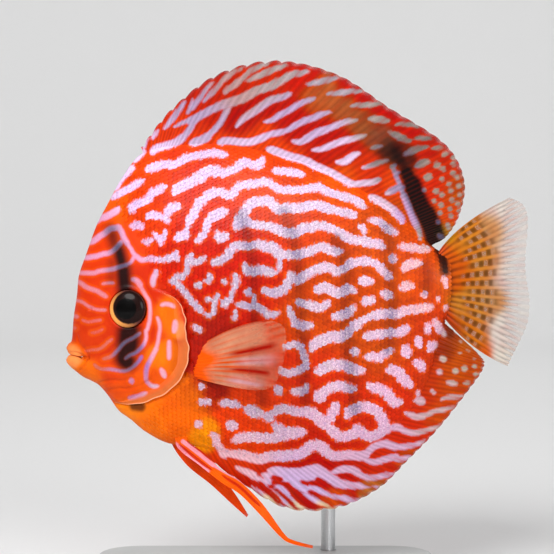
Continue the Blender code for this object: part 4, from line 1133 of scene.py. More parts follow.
# %% Outlines of the unpaired fins
DORSAL_ROOT = (
    (-39.7, 39.0), (-35.0, 41.3), (-28.3, 42.7), (-16.3, 42.3), (-1.7, 40.3), (13.7, 35.7), (30.3, 27.7),
    (41.0, 20.3), (47.3, 14.3), (51.7, 10.3), (53.0, 9.0),
)
DORSAL_MARGIN = (
    (-41.3, 43.3), (-31.0, 56.3), (-15.7, 67.7), (3.7, 72.2), (24.3, 67.5), (41.7, 56.3), (60.0, 44.3),
    (66.5, 32.3), (65.0, 21.0), (60.3, 13.3), (56.3, 11.7),
)
ANAL_ROOT = (
    (-24.0, -54.0), (-16.7, -55.3), (-8.3, -58.3), (3.7, -60.7), (19.0, -60.0), (32.3, -55.7),
    (42.7, -47.7), (50.3, -36.3), (54.3, -25.0), (56.3, -17.7), (57.7, -13.3),
)
ANAL_MARGIN = (
    (-23.0, -57.6), (-8.6, -68.2), (6.7, -77.0), (23.3, -77.2), (37.7, -70.7), (47.7, -61.0),
    (57.3, -51.0), (67.0, -39.0), (73.0, -30.0), (70.9, -25.4), (63.0, -18.3),
)
CAUDAL_ROOT = ((58.6, 9.4), (59.8, 5.0), (60.0, -2.7), (59.7, -8.7), (58.7, -12.3))
CAUDAL_MIDDLE = ((67.7, 18.3), (73.7, 10.3), (74.3, -2.0), (73.7, -13.0), (68.8, -22.6))
CAUDAL_MARGIN = (
    (81.7, 26.5), (86.0, 24.3), (87.7, 19.7), (87.2, 10.7), (86.7, 4.0), (87.3, -2.0), (88.2, -7.7),
    (87.7, -15.0), (85.3, -21.0), (82.7, -26.0), (81.0, -29.7),
)


def on_rails(rails, u, v):
    """Points at u along the rails and v across them, from the first rail to the last."""
    points = [along(rail, u) for rail in rails]
    if len(points) == 2:
        weights = (1.0 - v, v)
    else:
        weights = ((1 - v) * (1 - 2 * v), 4 * v * (1 - v), v * (2 * v - 1))
    return sum(w[:, None] * p for w, p in zip(weights, points))


# %% Dorsal and anal fins
RAY_COMB = 0.40
RAY_BARE = 0.07


def long_fin(name, root, margin, spines, soft_rays, spines_end, rows, notch, ripple, replaces):
    """A fin along the back or belly, with spines in its first part and soft rays in the rest."""
    rays = spines + soft_rays
    spots = np.concatenate((np.linspace(0.0, spines_end, spines, endpoint=False),
                            np.linspace(spines_end, 1.0, soft_rays)))

    def where(u, v):
        share = np.interp(u * (rays - 1), np.arange(rays), spots)
        low = along(root, share)
        high = along(margin, share)
        height = np.linalg.norm(high - low, axis=1)
        spiny = smooth_step(spines_end + 0.06, spines_end - 0.02, share)
        cut = ray_gap(u, rays) ** 2 * (notch * spiny + 0.35 * (1.0 - spiny)) / height
        sink = np.minimum(FIN_ROOT_SINK / height, 0.4)
        reach = (-sink + v * (1.0 + sink)) * (1.0 - cut * v ** 6)
        return low + (high - low) * reach[:, None], share, height

    def sheet(u, v):
        flat, share, height = where(u, v)
        sway = ripple * np.sin(share * 19.0) * v ** 2 * smooth_step(4.0, 16.0, height)
        return np.stack((flat[:, 0], sway, flat[:, 1] + FISH_LEVEL), axis=1)

    def half_at(u, v):
        ridge = (1.0 - ray_gap(u, rays) ** 2) ** 2
        root_swell = 0.85 * (1.0 - v) ** 3
        return FIN_EDGE_HALF + root_swell + (0.05 + RAY_HALF * ridge) * smooth_step(1.0, 0.9, v)

    mesh, u, v, points = bent_plate(name, (rays - 1) * COLUMNS_PER_RAY, rows, sheet, half_at)
    ridge = (1.0 - ray_gap(u, rays)) ** 1.5
    clear = 0.5 * smooth_step(0.94, 1.0, v) * (1.0 - 0.5 * ridge)
    share = np.interp(u * (rays - 1), np.arange(rays), spots)
    clear += 0.12 * smooth_step(0.70, 0.85, share) * smooth_step(0.55, 0.9, v) * (1.0 - ridge)
    ray = ridge * (0.35 * smooth_step(0.08, 0.35, v) + 0.65 * smooth_step(0.55, 0.92, v))
    fine_ridge = 1.0 - ray_gap(u, 2 * rays - 1)
    uneven = 0.65 + 0.35 * np.sin(2.4 * np.round(u * (2 * rays - 2)))
    comb = RAY_COMB * uneven * (fine_ridge - 0.5) * smooth_step(0.30, 0.75, v)
    combed = {"ribbon": read_chart(ribbon_chart, *flank_chart(points)) + comb,
              "dark": read_chart(dark_chart, *side_chart(points)) * (1.0 - RAY_BARE * fine_ridge ** 2)}
    return finish_fin(name, mesh, points, ray, np.minimum(clear, 0.8), replaces, combed,
                      tone=0.26 + 0.58 * fine_ridge)


dorsal_fin = long_fin("dorsal_fin", DORSAL_ROOT, DORSAL_MARGIN, 10, 31, 0.30, 56, 1.3, 0.5,
                      ("dorsal_fin_spiny", "dorsal_fin_soft"))
anal_fin = long_fin("anal_fin", ANAL_ROOT, ANAL_MARGIN, 8, 30, 0.30, 44, 1.0, 0.45,
                    ("anal_fin_spiny", "anal_fin_soft"))

# %% [markdown]
# ## Tail fin
# The tail fin is orange at its root and as clear as wet paper at its edge. Brown spots stand in rows
# between the forked rays.

# %% Tail fin
TAIL_RAYS = 16
TAIL_RAILS = (CAUDAL_ROOT, CAUDAL_MIDDLE, CAUDAL_MARGIN)
TAIL_SPOT_ROWS = 10.0


def tail_ridge(u, v):
    """1 on a ray, 0 between. Halfway out each ray forks, so that the ridges double."""
    single = (1.0 - ray_gap(u, TAIL_RAYS) ** 2) ** 2
    double = (1.0 - ray_gap(u, 2 * TAIL_RAYS - 1) ** 2) ** 2
    fork = smooth_step(0.5, 0.75, v)
    return single * (1.0 - fork) + double * fork


def tail_sheet(u, v):
    low = -0.10
    flat = on_rails(TAIL_RAILS, u, low + v * (1.0 - low))
    sway = 0.7 * np.sin(u * 9.0 + 0.6) * v ** 2
    notch = 0.35 * ray_gap(u, 2 * TAIL_RAYS - 1) ** 2 * v ** 8
    return np.stack((flat[:, 0] - notch, sway, flat[:, 1] + FISH_LEVEL), axis=1)


def tail_half(u, v):
    return FIN_EDGE_HALF + 1.0 * (1.0 - v) ** 3 + 0.16 * tail_ridge(u, v) * smooth_step(1.0, 0.85, v)


tail_mesh, u, v, points = bent_plate("tail_fin", (TAIL_RAYS - 1) * 14, 80, tail_sheet, tail_half)
pixel_x = points[:, 0] * PIXELS_PER_MM + PIXEL_X0
ridge = tail_ridge(u, v)
gap_order = np.floor(np.clip(u * (TAIL_RAYS - 1), 0.0, TAIL_RAYS - 1.001))
spot_phase = v * TAIL_SPOT_ROWS + 0.30 * np.sin(gap_order * 2.4)
spot_rows = smooth_step(0.3, 0.75, 0.5 - 0.5 * np.cos(2 * np.pi * spot_phase))
spot_start = 0.30 + 0.14 * np.abs(2.0 * u - 1.0) ** 2 + 0.05 * np.sin(gap_order * 4.1)
spot_zone = smooth_step(spot_start - 0.08, spot_start + 0.04, v) * smooth_step(0.70, 0.58, v)
gaps = smooth_step(0.15, 0.5, ray_gap(u, TAIL_RAYS))
spots = spot_rows * spot_zone * gaps
root_lines = smooth_step(0.3, 0.9, ray_gap(u, TAIL_RAYS)) * smooth_step(0.34, 0.14, v)
tail_dark = 0.62 * spots + 0.40 * root_lines
windows = 0.40 * (1.0 - spot_rows) * spot_zone * gaps
margin = 0.84 * smooth_step(494.0, 512.0, pixel_x - 9.0 * ridge)
tail_clear = np.maximum(windows, margin) * (1.0 - 0.3 * ridge) * (1.0 - 0.8 * spots)
tail_marks = {"dark": tail_dark, "ribbon": np.full(len(u), CHART_REACH)}
tail_fin = finish_fin("tail_fin", tail_mesh, points, np.zeros(len(u)), tail_clear, ("caudal_fin",),
                      tail_marks, tone=0.45 + 0.65 * ridge)

# %% [markdown]
# ## Paired fins
# The pectoral fins fan out behind the gill covers from a fleshy orange root. The pelvic fins are narrow
# straps under the breast, streaked with pink, and the near one ends in a long thread.

# %% Pectoral fins
PECTORAL_ROOT = ((-4.0, 4.5), (-4.0, 1.5), (-4.0, -1.5), (-4.0, -4.5))
PECTORAL_MIDDLE = ((9.5, 11.3), (14.0, 5.5), (14.0, -1.0), (9.0, -6.8))
PECTORAL_MARGIN = (
    (23.5, 14.6), (28.0, 14.0), (30.5, 11.5), (30.8, 6.5), (30.0, 1.5), (28.0, -3.5), (25.0, -6.8),
    (20.0, -7.8),
)
PECTORAL_RAILS = (PECTORAL_ROOT, PECTORAL_MIDDLE, PECTORAL_MARGIN)
PECTORAL_HINGE = (-19.7, 11.6, -28.4)
PECTORAL_SWING = radians(30.0)
PECTORAL_RAYS = 12


def pectoral_fin(name, side, replaces):
    def sheet(u, v):
        reach, rise = on_rails(PECTORAL_RAILS, u, v).T
        lean = 0.55 * np.sin(np.pi * u) * v + 0.25 * np.sin(u * 14.0) * v ** 2
        out = PECTORAL_HINGE[1] + reach * np.sin(PECTORAL_SWING) + lean * np.cos(PECTORAL_SWING)
        x = PECTORAL_HINGE[0] + reach * np.cos(PECTORAL_SWING) - lean * np.sin(PECTORAL_SWING)
        return np.stack((x, side * out, PECTORAL_HINGE[2] + rise + FISH_LEVEL), axis=1)

    def half_at(u, v):
        ridge = (1.0 - ray_gap(u, PECTORAL_RAYS) ** 2) ** 2
        lobe = 1.25 * (1.0 - v) ** 3 * (1.0 - (2.0 * u - 1.0) ** 4)
        return FIN_EDGE_HALF + lobe + 0.12 * ridge * smooth_step(1.0, 0.85, v)

    mesh, u, v, points = bent_plate(name, (PECTORAL_RAYS - 1) * 10, 60, sheet, half_at)
    ridge = (1.0 - ray_gap(u, PECTORAL_RAYS)) ** 1.5
    lobe = smooth_step(0.36, 0.08, v + 0.05 * np.sin(u * 11.0))
    middle = np.exp(-((u - 0.58) / 0.20) ** 2)
    fleshy = np.maximum(lobe, ridge * (0.35 + 0.65 * middle) * smooth_step(0.75, 0.25, v))
    streak = np.exp(-((u - 0.40) / 0.045) ** 2) + np.exp(-((u - 0.69) / 0.040) ** 2)
    streak *= smooth_step(0.25, 0.5, v) * smooth_step(1.0, 0.8, v)
    red = ridge * (0.20 + 0.4 * middle) * smooth_step(0.15, 0.4, v)
    red = np.clip(red + 0.7 * smooth_step(0.08, 0.0, u), 0.0, 1.0)
    lilac = np.exp(-((u - 0.55) / 0.06) ** 2) + np.exp(-((u - 0.86) / 0.07) ** 2)
    lilac *= smooth_step(0.35, 0.55, v) * smooth_step(1.0, 0.8, v) * (1.0 - 0.6 * ridge)
    clear = (0.42 + 0.54 * smooth_step(0.35, 0.95, v)) * (1.0 - 0.25 * ridge) * (1.0 - lobe)
    clear *= 1.0 - 0.55 * np.clip(streak + 0.6 * lilac, 0.0, 1.0)
    clear *= 0.72 + 0.28 * smooth_step(0.25, 0.5, u + 0.5 * smooth_step(0.7, 1.0, v))
    ground = np.tile(linear("e8a684")[:3], (len(u), 1))
    for hex_colour, share in (("cc3c24", red), ("dcb8c8", 0.8 * np.clip(lilac, 0.0, 1.0)),
                              ("a80c10", np.clip(streak, 0.0, 1.0)), ("ff5a0c", fleshy)):
        ground += (np.array(linear(hex_colour)[:3]) - ground) * share[:, None]
    colours = {"ground": ground, "ribbon": np.full(len(u), CHART_REACH), "dark": np.zeros(len(u))}
    return finish_fin(name, mesh, points, 0.5 * ridge * (1.0 - lobe), clear, replaces, colours, tone=0.9)


pectoral_fin("pectoral_left", -1.0, ("pectoral_fin_left",))
pectoral_fin("pectoral_right", 1.0, ("pectoral_fin_right",))

# %% Pelvic fins
PELVIC_LEFT = (
    ((-29.5, -50.5), (-29.0, -56.5), (-21.7, -62.3), (-14.3, -68.0), (-8.3, -71.8), (-1.7, -78.3),
     (5.0, -85.5), (8.7, -87.8), (15.7, -89.4)),
    ((-25.5, -50.5), (-25.5, -54.5), (-20.5, -58.0), (-14.5, -63.7), (-8.0, -67.7), (-0.7, -75.0),
     (6.3, -84.5), (9.3, -86.7), (15.9, -88.5)),
)
PELVIC_RIGHT = (
    ((-31.5, -51.5), (-31.0, -56.3), (-26.0, -63.3), (-18.3, -69.7), (-11.7, -76.0), (-6.2, -81.0)),
    ((-26.5, -50.5), (-26.3, -55.0), (-20.5, -61.5), (-14.3, -67.5), (-10.0, -73.3), (-5.7, -80.2)),
)
PELVIC_ROOT_Y = 2.5
PELVIC_TIP_Y = 6.0
PELVIC_RAYS = 6
pelvic_line_chart = press_strokes(PELVIC_LINES)
pelvic_shade_chart = press_strokes(PELVIC_SHADES, taper=6.0, tip=0.15)


def pelvic_fin(name, side, rails, replaces):
    root_z = rails[0][0][1]
    tip_z = rails[0][-1][1]

    def sheet(u, v):
        x, z = on_rails(rails, u, v).T
        out = PELVIC_ROOT_Y + (PELVIC_TIP_Y - PELVIC_ROOT_Y) * smooth_step(root_z, tip_z, z)
        return np.stack((x, side * out, z + FISH_LEVEL), axis=1)

    def half_at(u, v):
        ridge = (1.0 - ray_gap(v, PELVIC_RAYS) ** 2) ** 2
        return (0.30 - 0.12 * u) + 0.15 * ridge * (1.0 - 0.6 * u)

    mesh, u, v, points = bent_plate(name, 150, (PELVIC_RAYS - 1) * 6, sheet, half_at)
    x, level = side_chart(points)
    pink = smooth_step(0.25, -0.1, read_chart(pelvic_line_chart, x, level))
    deep = smooth_step(0.3, -0.1, read_chart(pelvic_shade_chart, x, level))
    ground = np.array(PELVIC_ORANGE) + (np.array(PELVIC_PINK) - PELVIC_ORANGE) * pink[:, None]
    ground = ground + (np.array(linear("b40a14")[:3]) - ground) * (0.75 * deep)[:, None]
    ray = (1.0 - ray_gap(v, PELVIC_RAYS)) ** 1.5
    if side > 0:
        crimson = 0.7 * smooth_step(0.45, 0.9, v) * smooth_step(0.7, 0.4, u)
        ground = np.tile(linear("ff5424")[:3], (len(u), 1))
        ground = ground + (np.array(linear("d01420")[:3]) - ground) * crimson[:, None]
    colours = {"ground": np.minimum(ground, 1.0), "ribbon": np.full(len(u), CHART_REACH), "dark": np.zeros(len(u))}
    clear = 0.35 * smooth_step(0.9, 1.0, u)
    return finish_fin(name, mesh, points, 0.5 * ray, clear, replaces, colours, tone=0.9)


pelvic_fin("pelvic_left", -1.0, PELVIC_LEFT, ("pelvic_fin_left",))
pelvic_fin("pelvic_right", 1.0, PELVIC_RIGHT, ("pelvic_fin_right",))

# %% [markdown]
# ## Eyes
# Museum fish get glass eyes: a dome with the iris painted behind it. The dome is turned on a lathe from
# its profile, which Blender calls a spin. Ring colours follow the distance from the eye's middle.

# %% Glass eyes
EYE_DOME = 2.0
EYE_BACK = 2.6
EYE_RISE = 0.3


def eye_profile():
    """Radius and height of the eye's profile, from the middle of its front to the middle of its back."""
    front = [(EYE_RADIUS * np.sin(t), EYE_DOME * np.cos(t)) for t in np.linspace(0.0, np.pi / 2, 15)]
    back = [(EYE_RADIUS * np.cos(t), -EYE_BACK * np.sin(t)) for t in np.linspace(0.0, np.pi / 2, 8)[1:]]
    return front + back


def glass_eye():
    """Painted glass: black pupil, brown-black iris and an amber outer ring under a clear coat. The ring dulls to
    reddish brown towards the upper rear, which is partly a painted reflection.
    """
    material, tree = new_material("painted_glass_eye")
    from_middle = add_node(tree, "ShaderNodeAttribute", attribute_name="from_middle").outputs["Fac"]
    forward = add_node(tree, "ShaderNodeAttribute", attribute_name="forward").outputs["Fac"]
    place = add_node(tree, "ShaderNodeTexCoord").outputs["Object"]
    streaks = add_node(tree, "ShaderNodeTexNoise", {"Vector": place, "Scale": 1 / (0.6 * MM), "Detail": 3.0})
    jitter = add_node(tree, "ShaderNodeMath", {0: streaks.outputs["Fac"], 1: 0.4, 2: from_middle},
                      operation="MULTIPLY_ADD")
    iris = add_node(tree, "ShaderNodeMapRange", {0: jitter.outputs[0], 1: 3.55, 2: 3.75})
    amber_from = add_node(tree, "ShaderNodeMapRange", {0: forward, 1: -0.55, 2: 1.0, 3: 6.0, 4: 4.1})
    past = add_node(tree, "ShaderNodeMath", {0: jitter.outputs[0], 1: amber_from.outputs[0]},
                    operation="SUBTRACT")
    amber_share = add_node(tree, "ShaderNodeMapRange", {0: past.outputs[0], 1: 0.0, 2: 0.45})
    # The ring's reddish brown at the upper rear is partly a painted reflection. The amber at the front is the
    # eye's own colour.
    ring_tone = add_node(tree, "ShaderNodeMapRange", {0: forward, 1: -0.2, 2: 0.8})
    ring = add_node(tree, "ShaderNodeMix", {0: ring_tone.outputs[0], 6: linear("6a3a34"), 7: linear("f0a050")},
                    data_type="RGBA")
    inner = add_node(tree, "ShaderNodeMix", {0: iris.outputs[0], 6: linear("030202"), 7: linear("1c0a08")},
                     data_type="RGBA")
    colour = add_node(tree, "ShaderNodeMix", {0: amber_share.outputs[0], 6: inner.outputs[2], 7: ring.outputs[2]},
                      data_type="RGBA")
    shader = add_node(tree, "ShaderNodeBsdfPrincipled",
                      {"Base Color": colour.outputs[2], "Roughness": 0.3, "Specular IOR Level": 0.05, "Coat Weight": 0.12,
                       "Coat Roughness": 0.02, "IOR": 1.5})
    add_node(tree, "ShaderNodeOutputMaterial", {"Surface": shader.outputs[0]})
    return material


eye_material = glass_eye()


def make_eye(name, side, replaces):
    bm = bmesh.new()
    corners = [bm.verts.new((radius, 0.0, height)) for radius, height in eye_profile()]
    edges = [bm.edges.new(pair) for pair in zip(corners[:-1], corners[1:])]
    bmesh.ops.spin(bm, geom=corners + edges, axis=(0, 0, 1), cent=(0, 0, 0), angle=2 * np.pi, steps=72,
                   use_merge=True)
    bmesh.ops.remove_doubles(bm, verts=bm.verts, dist=0.0001)
    bmesh.ops.recalc_face_normals(bm, faces=bm.faces)
    mesh = bpy.data.meshes.new(name)
    bm.to_mesh(mesh)
    bm.free()
    lens = coordinates(mesh)
    rim = [on_skin(EYE_X + dx, EYE_LEVEL + dz, side) for dx, dz in ((-9, 0), (9, 0), (0, 9), (0, -9))]
    middle = np.mean([place for place, _, _ in rim], axis=0)
    facing = np.mean([facing for _, facing, _ in rim], axis=0)
    facing /= np.linalg.norm(facing)
    ahead = np.array((-1.0, 0.0, 0.0)) + facing * facing[0]
    ahead /= np.linalg.norm(ahead)
    up = np.cross(facing, ahead)
    place = np.array((EYE_X, middle[1] + side * EYE_RISE, EYE_LEVEL + FISH_LEVEL))
    points = place + lens[:, :1] * ahead + lens[:, 1:2] * up + lens[:, 2:] * facing
    set_coordinates(mesh, points * MM)
    bm = bmesh.new()
    bm.from_mesh(mesh)
    bmesh.ops.recalc_face_normals(bm, faces=bm.faces)
    bm.to_mesh(mesh)
    bm.free()
    store(mesh, "from_middle", np.hypot(lens[:, 0], lens[:, 1]))
    store(mesh, "forward", (0.90 * lens[:, 0] - 0.44 * lens[:, 1] * np.sign(up[2])) / EYE_RADIUS)
    print(name, "middle at", np.round(place, 1))
    return as_piece(name, mesh, eye_material, replaces)


make_eye("glass_eye_left", -1.0, ("eye_left",))
make_eye("glass_eye_right", 1.0, ("eye_right",))

# %% [markdown]
# ## Gill flaps
# The gill cover ends in a soft flap of skin that seals the gill opening. It is peach at its rim, and its
# edge is gently scalloped.

# %% Gill flaps
FLAP_WIDTH = 3.2
FLAP_OVERHANG = 0.7
FLAP_SINK = 0.35
FLAP_FROM = 0.04
FLAP_TO = 0.97


def flap_skin():
    """Thin wet skin, orange-brown where it is laid on the gill and peach at its thick rim, where the peach is
    partly a painted highlight.
    """
    material, tree = new_material("soft_gill_flap")
    across = add_node(tree, "ShaderNodeAttribute", attribute_name="across").outputs["Fac"]
    length = add_node(tree, "ShaderNodeAttribute", attribute_name="length").outputs["Fac"]
    ground = add_node(tree, "ShaderNodeAttribute", attribute_name="ground").outputs["Color"]
    place = add_node(tree, "ShaderNodeTexCoord").outputs["Object"]
    mottle = add_node(tree, "ShaderNodeTexNoise", {"Vector": place, "Scale": 1 / (1.6 * MM), "Detail": 3.0})
    low = add_node(tree, "ShaderNodeMapRange", {0: length, 1: 0.2, 2: 0.45})
    out = add_node(tree, "ShaderNodeMapRange", {0: across, 1: 0.25, 2: 0.65})
    bared = add_node(tree, "ShaderNodeMath", {0: low.outputs[0], 1: out.outputs[0]}, operation="MULTIPLY")
    ribbon = add_node(tree, "ShaderNodeAttribute", attribute_name="ribbon").outputs["Fac"]
    pale = add_node(tree, "ShaderNodeAttribute", attribute_name="pale").outputs["Color"]
    line = add_node(tree, "ShaderNodeMapRange", {0: ribbon, 1: 0.5, 2: -0.4})
    lined = add_node(tree, "ShaderNodeMix", {0: line.outputs[0], 6: ground, 7: pale}, data_type="RGBA")
    skin_tone = add_node(tree, "ShaderNodeMix", {0: bared.outputs[0], 6: lined.outputs[2], 7: linear("c4602a")},
                         data_type="RGBA")
    spotted = add_node(tree, "ShaderNodeMapRange", {0: mottle.outputs["Fac"], 1: 0.4, 2: 0.7, 3: 0.0, 4: 0.35})
    mixed = add_node(tree, "ShaderNodeMix", {0: spotted.outputs[0], 6: skin_tone.outputs[2], 7: linear("d8682a")},
                     data_type="RGBA")
    # Peach rim: partly the flap's own pale edge and partly a painted highlight along it.
    rim = add_node(tree, "ShaderNodeMapRange", {0: across, 1: 0.88, 2: 0.98})
    colour = add_node(tree, "ShaderNodeMix", {0: rim.outputs[0], 6: mixed.outputs[2], 7: linear("f0a47c")},
                      data_type="RGBA")
    folds = add_node(tree, "ShaderNodeBump", {"Height": mottle.outputs["Fac"], "Strength": 0.3,
                                              "Distance": 0.15 * MM})
    shader = add_node(tree, "ShaderNodeBsdfPrincipled",
                      {"Base Color": colour.outputs[2], "Roughness": 0.4, "Specular IOR Level": 0.15,
                       "Coat Weight": 0.1, "Coat Roughness": 0.15, "Normal": folds.outputs["Normal"]})
    add_node(tree, "ShaderNodeOutputMaterial", {"Surface": shader.outputs[0]})
    return material


flap_material = flap_skin()


def gill_flap(name, side):
    knots = np.linspace(0.0, 1.0, 90)
    edge = along(GILL_EDGE, FLAP_FROM + (FLAP_TO - FLAP_FROM) * knots)
    way = np.gradient(edge, axis=0)
    way /= np.linalg.norm(way, axis=1)[:, None]
    outward = np.stack((-way[:, 1], way[:, 0]), axis=1)
    taper = smooth_step(0.0, 0.2, knots) * smooth_step(1.0, 0.8, knots)
    width = FLAP_WIDTH * (0.15 + 0.85 * taper)
    scallop = 1.0 + 0.45 * np.sin(knots * 46.0) * np.sin(knots * 17.0 + 1.0)
    inward = (1.0, 0.8, 0.6, 0.4, 0.22)
    spots = [edge - outward * (width * share)[:, None] for share in inward]
    heights = np.array([[abs(on_skin(x, level, side)[0][1]) for x, level in row] for row in spots])

    def sheet(u, v):
        x = np.interp(u, knots, edge[:, 0])
        z = np.interp(u, knots, edge[:, 1])
        ox = np.interp(u, knots, outward[:, 0])
        oz = np.interp(u, knots, outward[:, 1])
        over = FLAP_OVERHANG * np.interp(u, knots, taper * scallop)
        wide = np.interp(u, knots, width)
        across = -wide + v * (wide + over)
        steps = np.array([np.interp(u, knots, row) for row in heights])
        back = np.clip((1.0 + across / wide) * 5.0, 0.0, 3.999)
        low = back.astype(int)
        share = back - low
        each = np.arange(len(u))
        out = steps[low, each] * (1.0 - share) + steps[low + 1, each] * share
        out = out + 0.09 - FLAP_SINK * smooth_step(0.22, 0.0, v) + 0.16 * v ** 2 * np.interp(u, knots, taper)
        return np.stack((x + ox * across, side * out, z + oz * across + FISH_LEVEL), axis=1)

    def half_at(u, v):
        return 0.05 + 0.12 * smooth_step(0.80, 0.97, v)

    mesh, u, v, points = bent_plate(name, 180, 16, sheet, half_at)
    mark(mesh, points)
    store(mesh, "across", v)
    store(mesh, "length", u)
    piece = as_piece(name, mesh, flap_material)
    mesh.set_sharp_from_angle(angle=radians(60.0))
    return piece


gill_flap("gill_flap_left", -1.0)
gill_flap("gill_flap_right", 1.0)

# %% [markdown]
# ## Scales
# The flank is tiled with small round-edged scales in staggered rows, each tucked under the one ahead.
# They could be a bump pattern, but real plates catch the light from every side. One scale is made from
# a small grid, an Array modifier copies it, and then each copy is laid on the skin at its own root.

# %% Where scales grow
SCALE_PITCH_X = 1.45
SCALE_PITCH_Z = 1.33
SCALE_LENGTH = 2.3
SCALE_WIDTH = 1.78
SCALE_LIFT = 0.22
SCALE_SINK = 0.12
SCALE_CROWN = 0.07
SCALE_PLATE = 0.10
TAIL_MIDDLE = np.array((66.0, -2.0))
BREAST_PLAIN_FROM = -27.0
BREAST_PLAIN_TO = -20.0
BREAST_TOP = -34.0
# Pixels of the photograph: for each height, how far back the bare skin of the head reaches.
BARE_HEIGHTS = (150, 200, 216, 236, 262, 285, 298, 320, 342, 362, 382, 398, 410, 425, 450)
BARE_TO = (110, 112, 120, 136, 146, 160, 172, 184, 190, 189, 180, 166, 150, 140, 140)
shares = np.empty(len(skin_mesh.vertices), np.float32)
turns = np.empty(len(skin_mesh.vertices), np.float32)
skin_mesh.attributes["share"].data.foreach_get("value", shares)
skin_mesh.attributes["turn"].data.foreach_get("value", turns)
dice = np.random.default_rng(7)


def scale_roots(side):
    """Places, normals and unwrap positions of the roots on one flank, in staggered columns."""
    roots = []
    for column in range(-56, 50):
        for row in range(-54, 40):
            x = column * SCALE_PITCH_X
            level = (row + 0.5 * (column % 2)) * SCALE_PITCH_Z
            hit = on_skin(x, level, side)
            if hit is None:
                continue
            place, facing, face = hit
            chart_x, chart_level = side_chart(place[None, :])
            pixel_y = PIXEL_Y0 - chart_level[0] * PIXELS_PER_MM
            bare_to = np.interp(pixel_y, BARE_HEIGHTS, BARE_TO)
            too_near_edge = abs(facing[1]) < 0.42 or abs(place[1]) < 0.9
            if too_near_edge or chart_x[0] * PIXELS_PER_MM + PIXEL_X0 < bare_to:
                continue
            corners = list(skin_mesh.polygons[face].vertices)
            roots.append((*place, *facing, shares[corners].mean(), turns[corners].mean()))
    return np.array(roots)


# %% One scale, copied
def leaf_mesh():
    """A flat plate of six small squares with a rim, for one scale. Its corners run from 0 to 1."""
    bm = bmesh.new()
    bmesh.ops.create_grid(bm, x_segments=3, y_segments=2, size=0.5)
    back = bmesh.ops.extrude_face_region(bm, geom=bm.faces[:])["geom"]
    low_corners = [part for part in back if isinstance(part, bmesh.types.BMVert)]
    bmesh.ops.translate(bm, verts=low_corners, vec=(0.0, 0.0, -1.0))
    bmesh.ops.translate(bm, verts=bm.verts, vec=(0.5, 0.5, 0.0))
    bmesh.ops.recalc_face_normals(bm, faces=bm.faces)
    mesh = bpy.data.meshes.new("scale")
    bm.to_mesh(mesh)
    bm.free()
    return mesh


def copied(mesh, count):
    """A mesh of many copies of another, all in one place, made by an Array modifier."""
    holder = bpy.data.objects.new("scale_array", mesh)
    bpy.context.scene.collection.objects.link(holder)
    array = holder.modifiers.new("copies", "ARRAY")
    array.count = count
    array.use_relative_offset = False
    array.use_constant_offset = True
    array.constant_offset_displace = (0.0, 0.0, 0.0)
    seen = holder.evaluated_get(bpy.context.evaluated_depsgraph_get())
    joined = bpy.data.meshes.new_from_object(seen)
    bpy.data.objects.remove(holder)
    return joined


